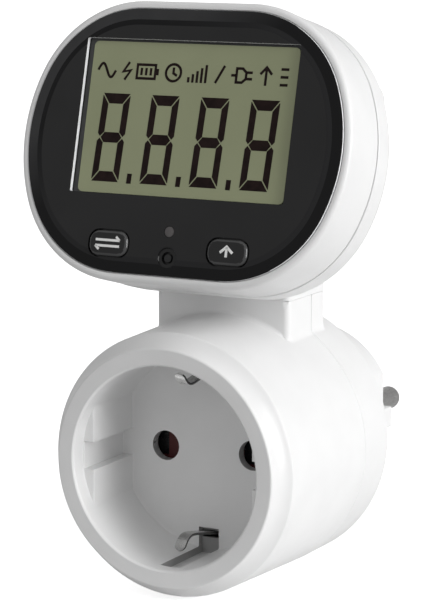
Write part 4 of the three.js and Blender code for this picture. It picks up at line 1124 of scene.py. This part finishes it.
def header_symbols():
    """A row of generic measuring symbols across the top of the display: wave, bolt, battery, clock,
    bars, stroke, plug, arrow and lines. Each has its left end, a closed outline or None, and open lines."""
    tall = SYMBOL_TALL
    wave = [(0.16 * i, tall / 2 + 1.3 * math.sin(2 * math.pi * i / 24)) for i in range(25)]
    rim = [(tall / 2 + x, tall / 2 + z) for x, z in circle(tall / 2 - 0.1, steps=24)]
    battery = [(0, 0.4), (3.9, 0.4), (3.9, 3.0), (0, 3.0)]
    plug = [(1.1, 0.4), (2.3, 0.4), (3.1, 1.1), (3.1, 2.3), (2.3, 3.0), (1.1, 3.0)]
    cells = [[(0.95 + i, 1.0), (0.95 + i, 2.4)] for i in range(3)]
    bars = [[(0.9 * i, 0.0), (0.9 * i, 1.0 + 0.6 * i)] for i in range(5)]
    row = [
        (-19.8, None, [wave]),
        (-14.6, None, [[(1.5, tall), (0.3, 1.55), (1.9, 1.85), (0.7, 0.0)]]),
        (-11.3, battery, [[(4.4, 1.1), (4.4, 2.3)], *cells]),
        (-5.2, rim, [[(1.7, 2.7), (1.7, 1.6), (2.5, 1.15)]]),
        (-0.2, None, bars),
        (5.5, None, [[(0.0, 0.1), (1.7, tall)]]),
        (8.7, plug, [[(0.0, 1.7), (1.1, 1.7)], [(3.1, 1.1), (4.4, 1.1)], [(3.1, 2.3), (4.4, 2.3)]]),
        (14.7, None, [[(0.0, 2.1), (1.2, tall), (2.4, 2.1)], [(1.2, 0.0), (1.2, 3.0)]]),
        (18.9, None, [[(0.0, z), (1.6, z)] for z in (0.25, 1.7, 3.15)]),
    ]
    shapes = []
    for x, closed, lines in row:
        for points in ([closed] if closed else []) + lines:
            moved = [(x + px, SYMBOL_BASE + pz) for px, pz in points]
            shapes.extend(stroke(moved, SYMBOL_STROKE, points is closed))
    return shapes


def display():
    glass = plate("display_glass", *GLASS, GLASS_FRONT, 2.1)
    finished(glass, MASK, ["lcd_front_glass"])
    film = plate("display_film", *ACTIVE, FILM_FRONT, GLASS_FRONT + 0.01, 0.03, 1.0)
    finished(film, FILM)
    finished(printed("display_digits", display_digits(), FILM_FRONT), INK)
    finished(printed("display_symbols", header_symbols(), FILM_FRONT), INK)


def button_marks():
    """A white two-way arrow on the mode button and an upward arrow on the other."""
    swap = []
    for side in (1, -1):
        z = side * 0.55
        tail, tip = -2.6 * side, 2.6 * side
        for start in ((tail, z), (tip - side * 0.85, z + side * 0.72)):
            swap += stroke([start, (tip, z)], 0.46)
    rise = stroke([(0, -0.95), (0, 0.85)], 0.5)
    rise += stroke([(-1.3, -0.15), (0, 1.0), (1.3, -0.15)], 0.5)
    for name, x, shapes in (("mode_button", -BUTTON_X, swap), ("up_button", BUTTON_X, rise)):
        moved = [[(x + px, BUTTON_Z + pz) for px, pz in shape] for shape in shapes]
        finished(printed(name + "_mark", moved, CAP_FRONT_Y), WHITE_INK, (), name)


dress_cad_nodes()
front_housing()
rear_housing()
plug_body()
pin("line_pin_turned", 1, "line_pin")
pin("neutral_pin_turned", -1, "neutral_pin")
shutter()
earth_frame()
# The top clip's tip gets painted light and the bottom clip painted shade.
earth_clip("earth_clip_top", 1, NICKEL_PAINTED_LIGHT)
earth_clip("earth_clip_bottom", -1, NICKEL_PAINTED_SHADE)
for number in range(1, 5):
    screw = f"housing_screw_{number}"
    cross_screw(f"housing_fixing_{number}", screw, 2, 14, high(screw).y)
    cross_screw(f"head_fixing_{number}", f"head_screw_{number}", 2.3, 9, HEAD_SEAM + 4, HEAD)
head_front_shell()
head_rear_shell()
face_panel()
button("mode_button", -BUTTON_X)
button("up_button", BUTTON_X)
reset_button()
indicator_lens()
display()
button_marks()

# ---- camera and stage

CAMERA_AZIMUTH = math.radians(28.48)
CAMERA_ELEVATION = math.radians(9.52)
CAMERA_DISTANCE = 460.84
CAMERA_LENS = 151.29
CAMERA_TARGET = Vector((10.58, RING_Y, 32.99))


def make_camera():
    flat = CAMERA_DISTANCE * math.cos(CAMERA_ELEVATION)
    back = Vector((math.sin(CAMERA_AZIMUTH) * flat, -math.cos(CAMERA_AZIMUTH) * flat,
                   CAMERA_DISTANCE * math.sin(CAMERA_ELEVATION)))
    data = bpy.data.cameras.new("camera")
    data.lens = CAMERA_LENS
    data.sensor_width = 36
    data.clip_start = 0.05
    data.clip_end = 20
    camera = bpy.data.objects.new("camera", data)
    camera.location = (CAMERA_TARGET + back) * MM
    camera.rotation_euler = back.to_track_quat("Z", "Y").to_euler()
    bpy.context.scene.collection.objects.link(camera)
    bpy.context.scene.camera = camera


def soft_sun(name, azimuth, elevation, spread, strength):
    """A large far softbox. Azimuth 0 is in front of the object and 90 to its right."""
    a, e = math.radians(azimuth), math.radians(elevation)
    out = Vector((math.sin(a) * math.cos(e), -math.cos(a) * math.cos(e), math.sin(e)))
    data = bpy.data.lights.new(name, "SUN")
    data.angle = math.radians(spread)
    data.energy = strength
    light = bpy.data.objects.new(name, data)
    light.location = out
    light.rotation_euler = out.to_track_quat("Z", "Y").to_euler()
    bpy.context.scene.collection.objects.link(light)


def make_stage():
    """A pale floor that starts just in front of the object and sweeps up far behind it."""
    floor_z = -SEAM_R - 0.2
    width, front, back, height, bend = 4000, -74, 2500, 3000, 1200
    line = [(front, floor_z)]
    line += [(back - bend + y, floor_z + bend + z) for y, z in arc(0, 0, bend, -90, 0, 15)]
    line.append((back, height))
    points = [(x, y, z) for y, z in line for x in (-width, width)]
    faces = [[2 * i, 2 * i + 1, 2 * i + 3, 2 * i + 2] for i in range(len(line) - 1)]
    floor = new_object("floor", points, faces)
    floor.data.materials.append(floor_paper())


def make_lights():
    """Three soft lights close together on the right, a weak one above, and a dim even room."""
    soft_sun("key", 80, 24, 26, 1.06)
    soft_sun("low", 80, 4, 20, 0.7)
    soft_sun("side", 88, 12, 40, 0.47)
    soft_sun("top", 10, 65, 60, 0.18)
    world = bpy.data.worlds.new("studio")
    world.use_nodes = True
    nodes, links = world.node_tree.nodes, world.node_tree.links
    room = nodes["Background"]
    room.inputs["Color"].default_value = (1, 1, 1, 1)
    room.inputs["Strength"].default_value = 0.395
    paper = nodes.new("ShaderNodeBackground")
    paper.inputs["Color"].default_value = (1, 1, 1, 1)
    seen = nodes.new("ShaderNodeLightPath")
    either = nodes.new("ShaderNodeMixShader")
    links.new(seen.outputs["Is Camera Ray"], either.inputs["Fac"])
    links.new(room.outputs["Background"], either.inputs[1])
    links.new(paper.outputs["Background"], either.inputs[2])
    links.new(either.outputs["Shader"], nodes["World Output"].inputs["Surface"])
    bpy.context.scene.world = world
    bpy.context.scene.view_settings.view_transform = "Standard"


make_camera()
make_stage()
make_lights()
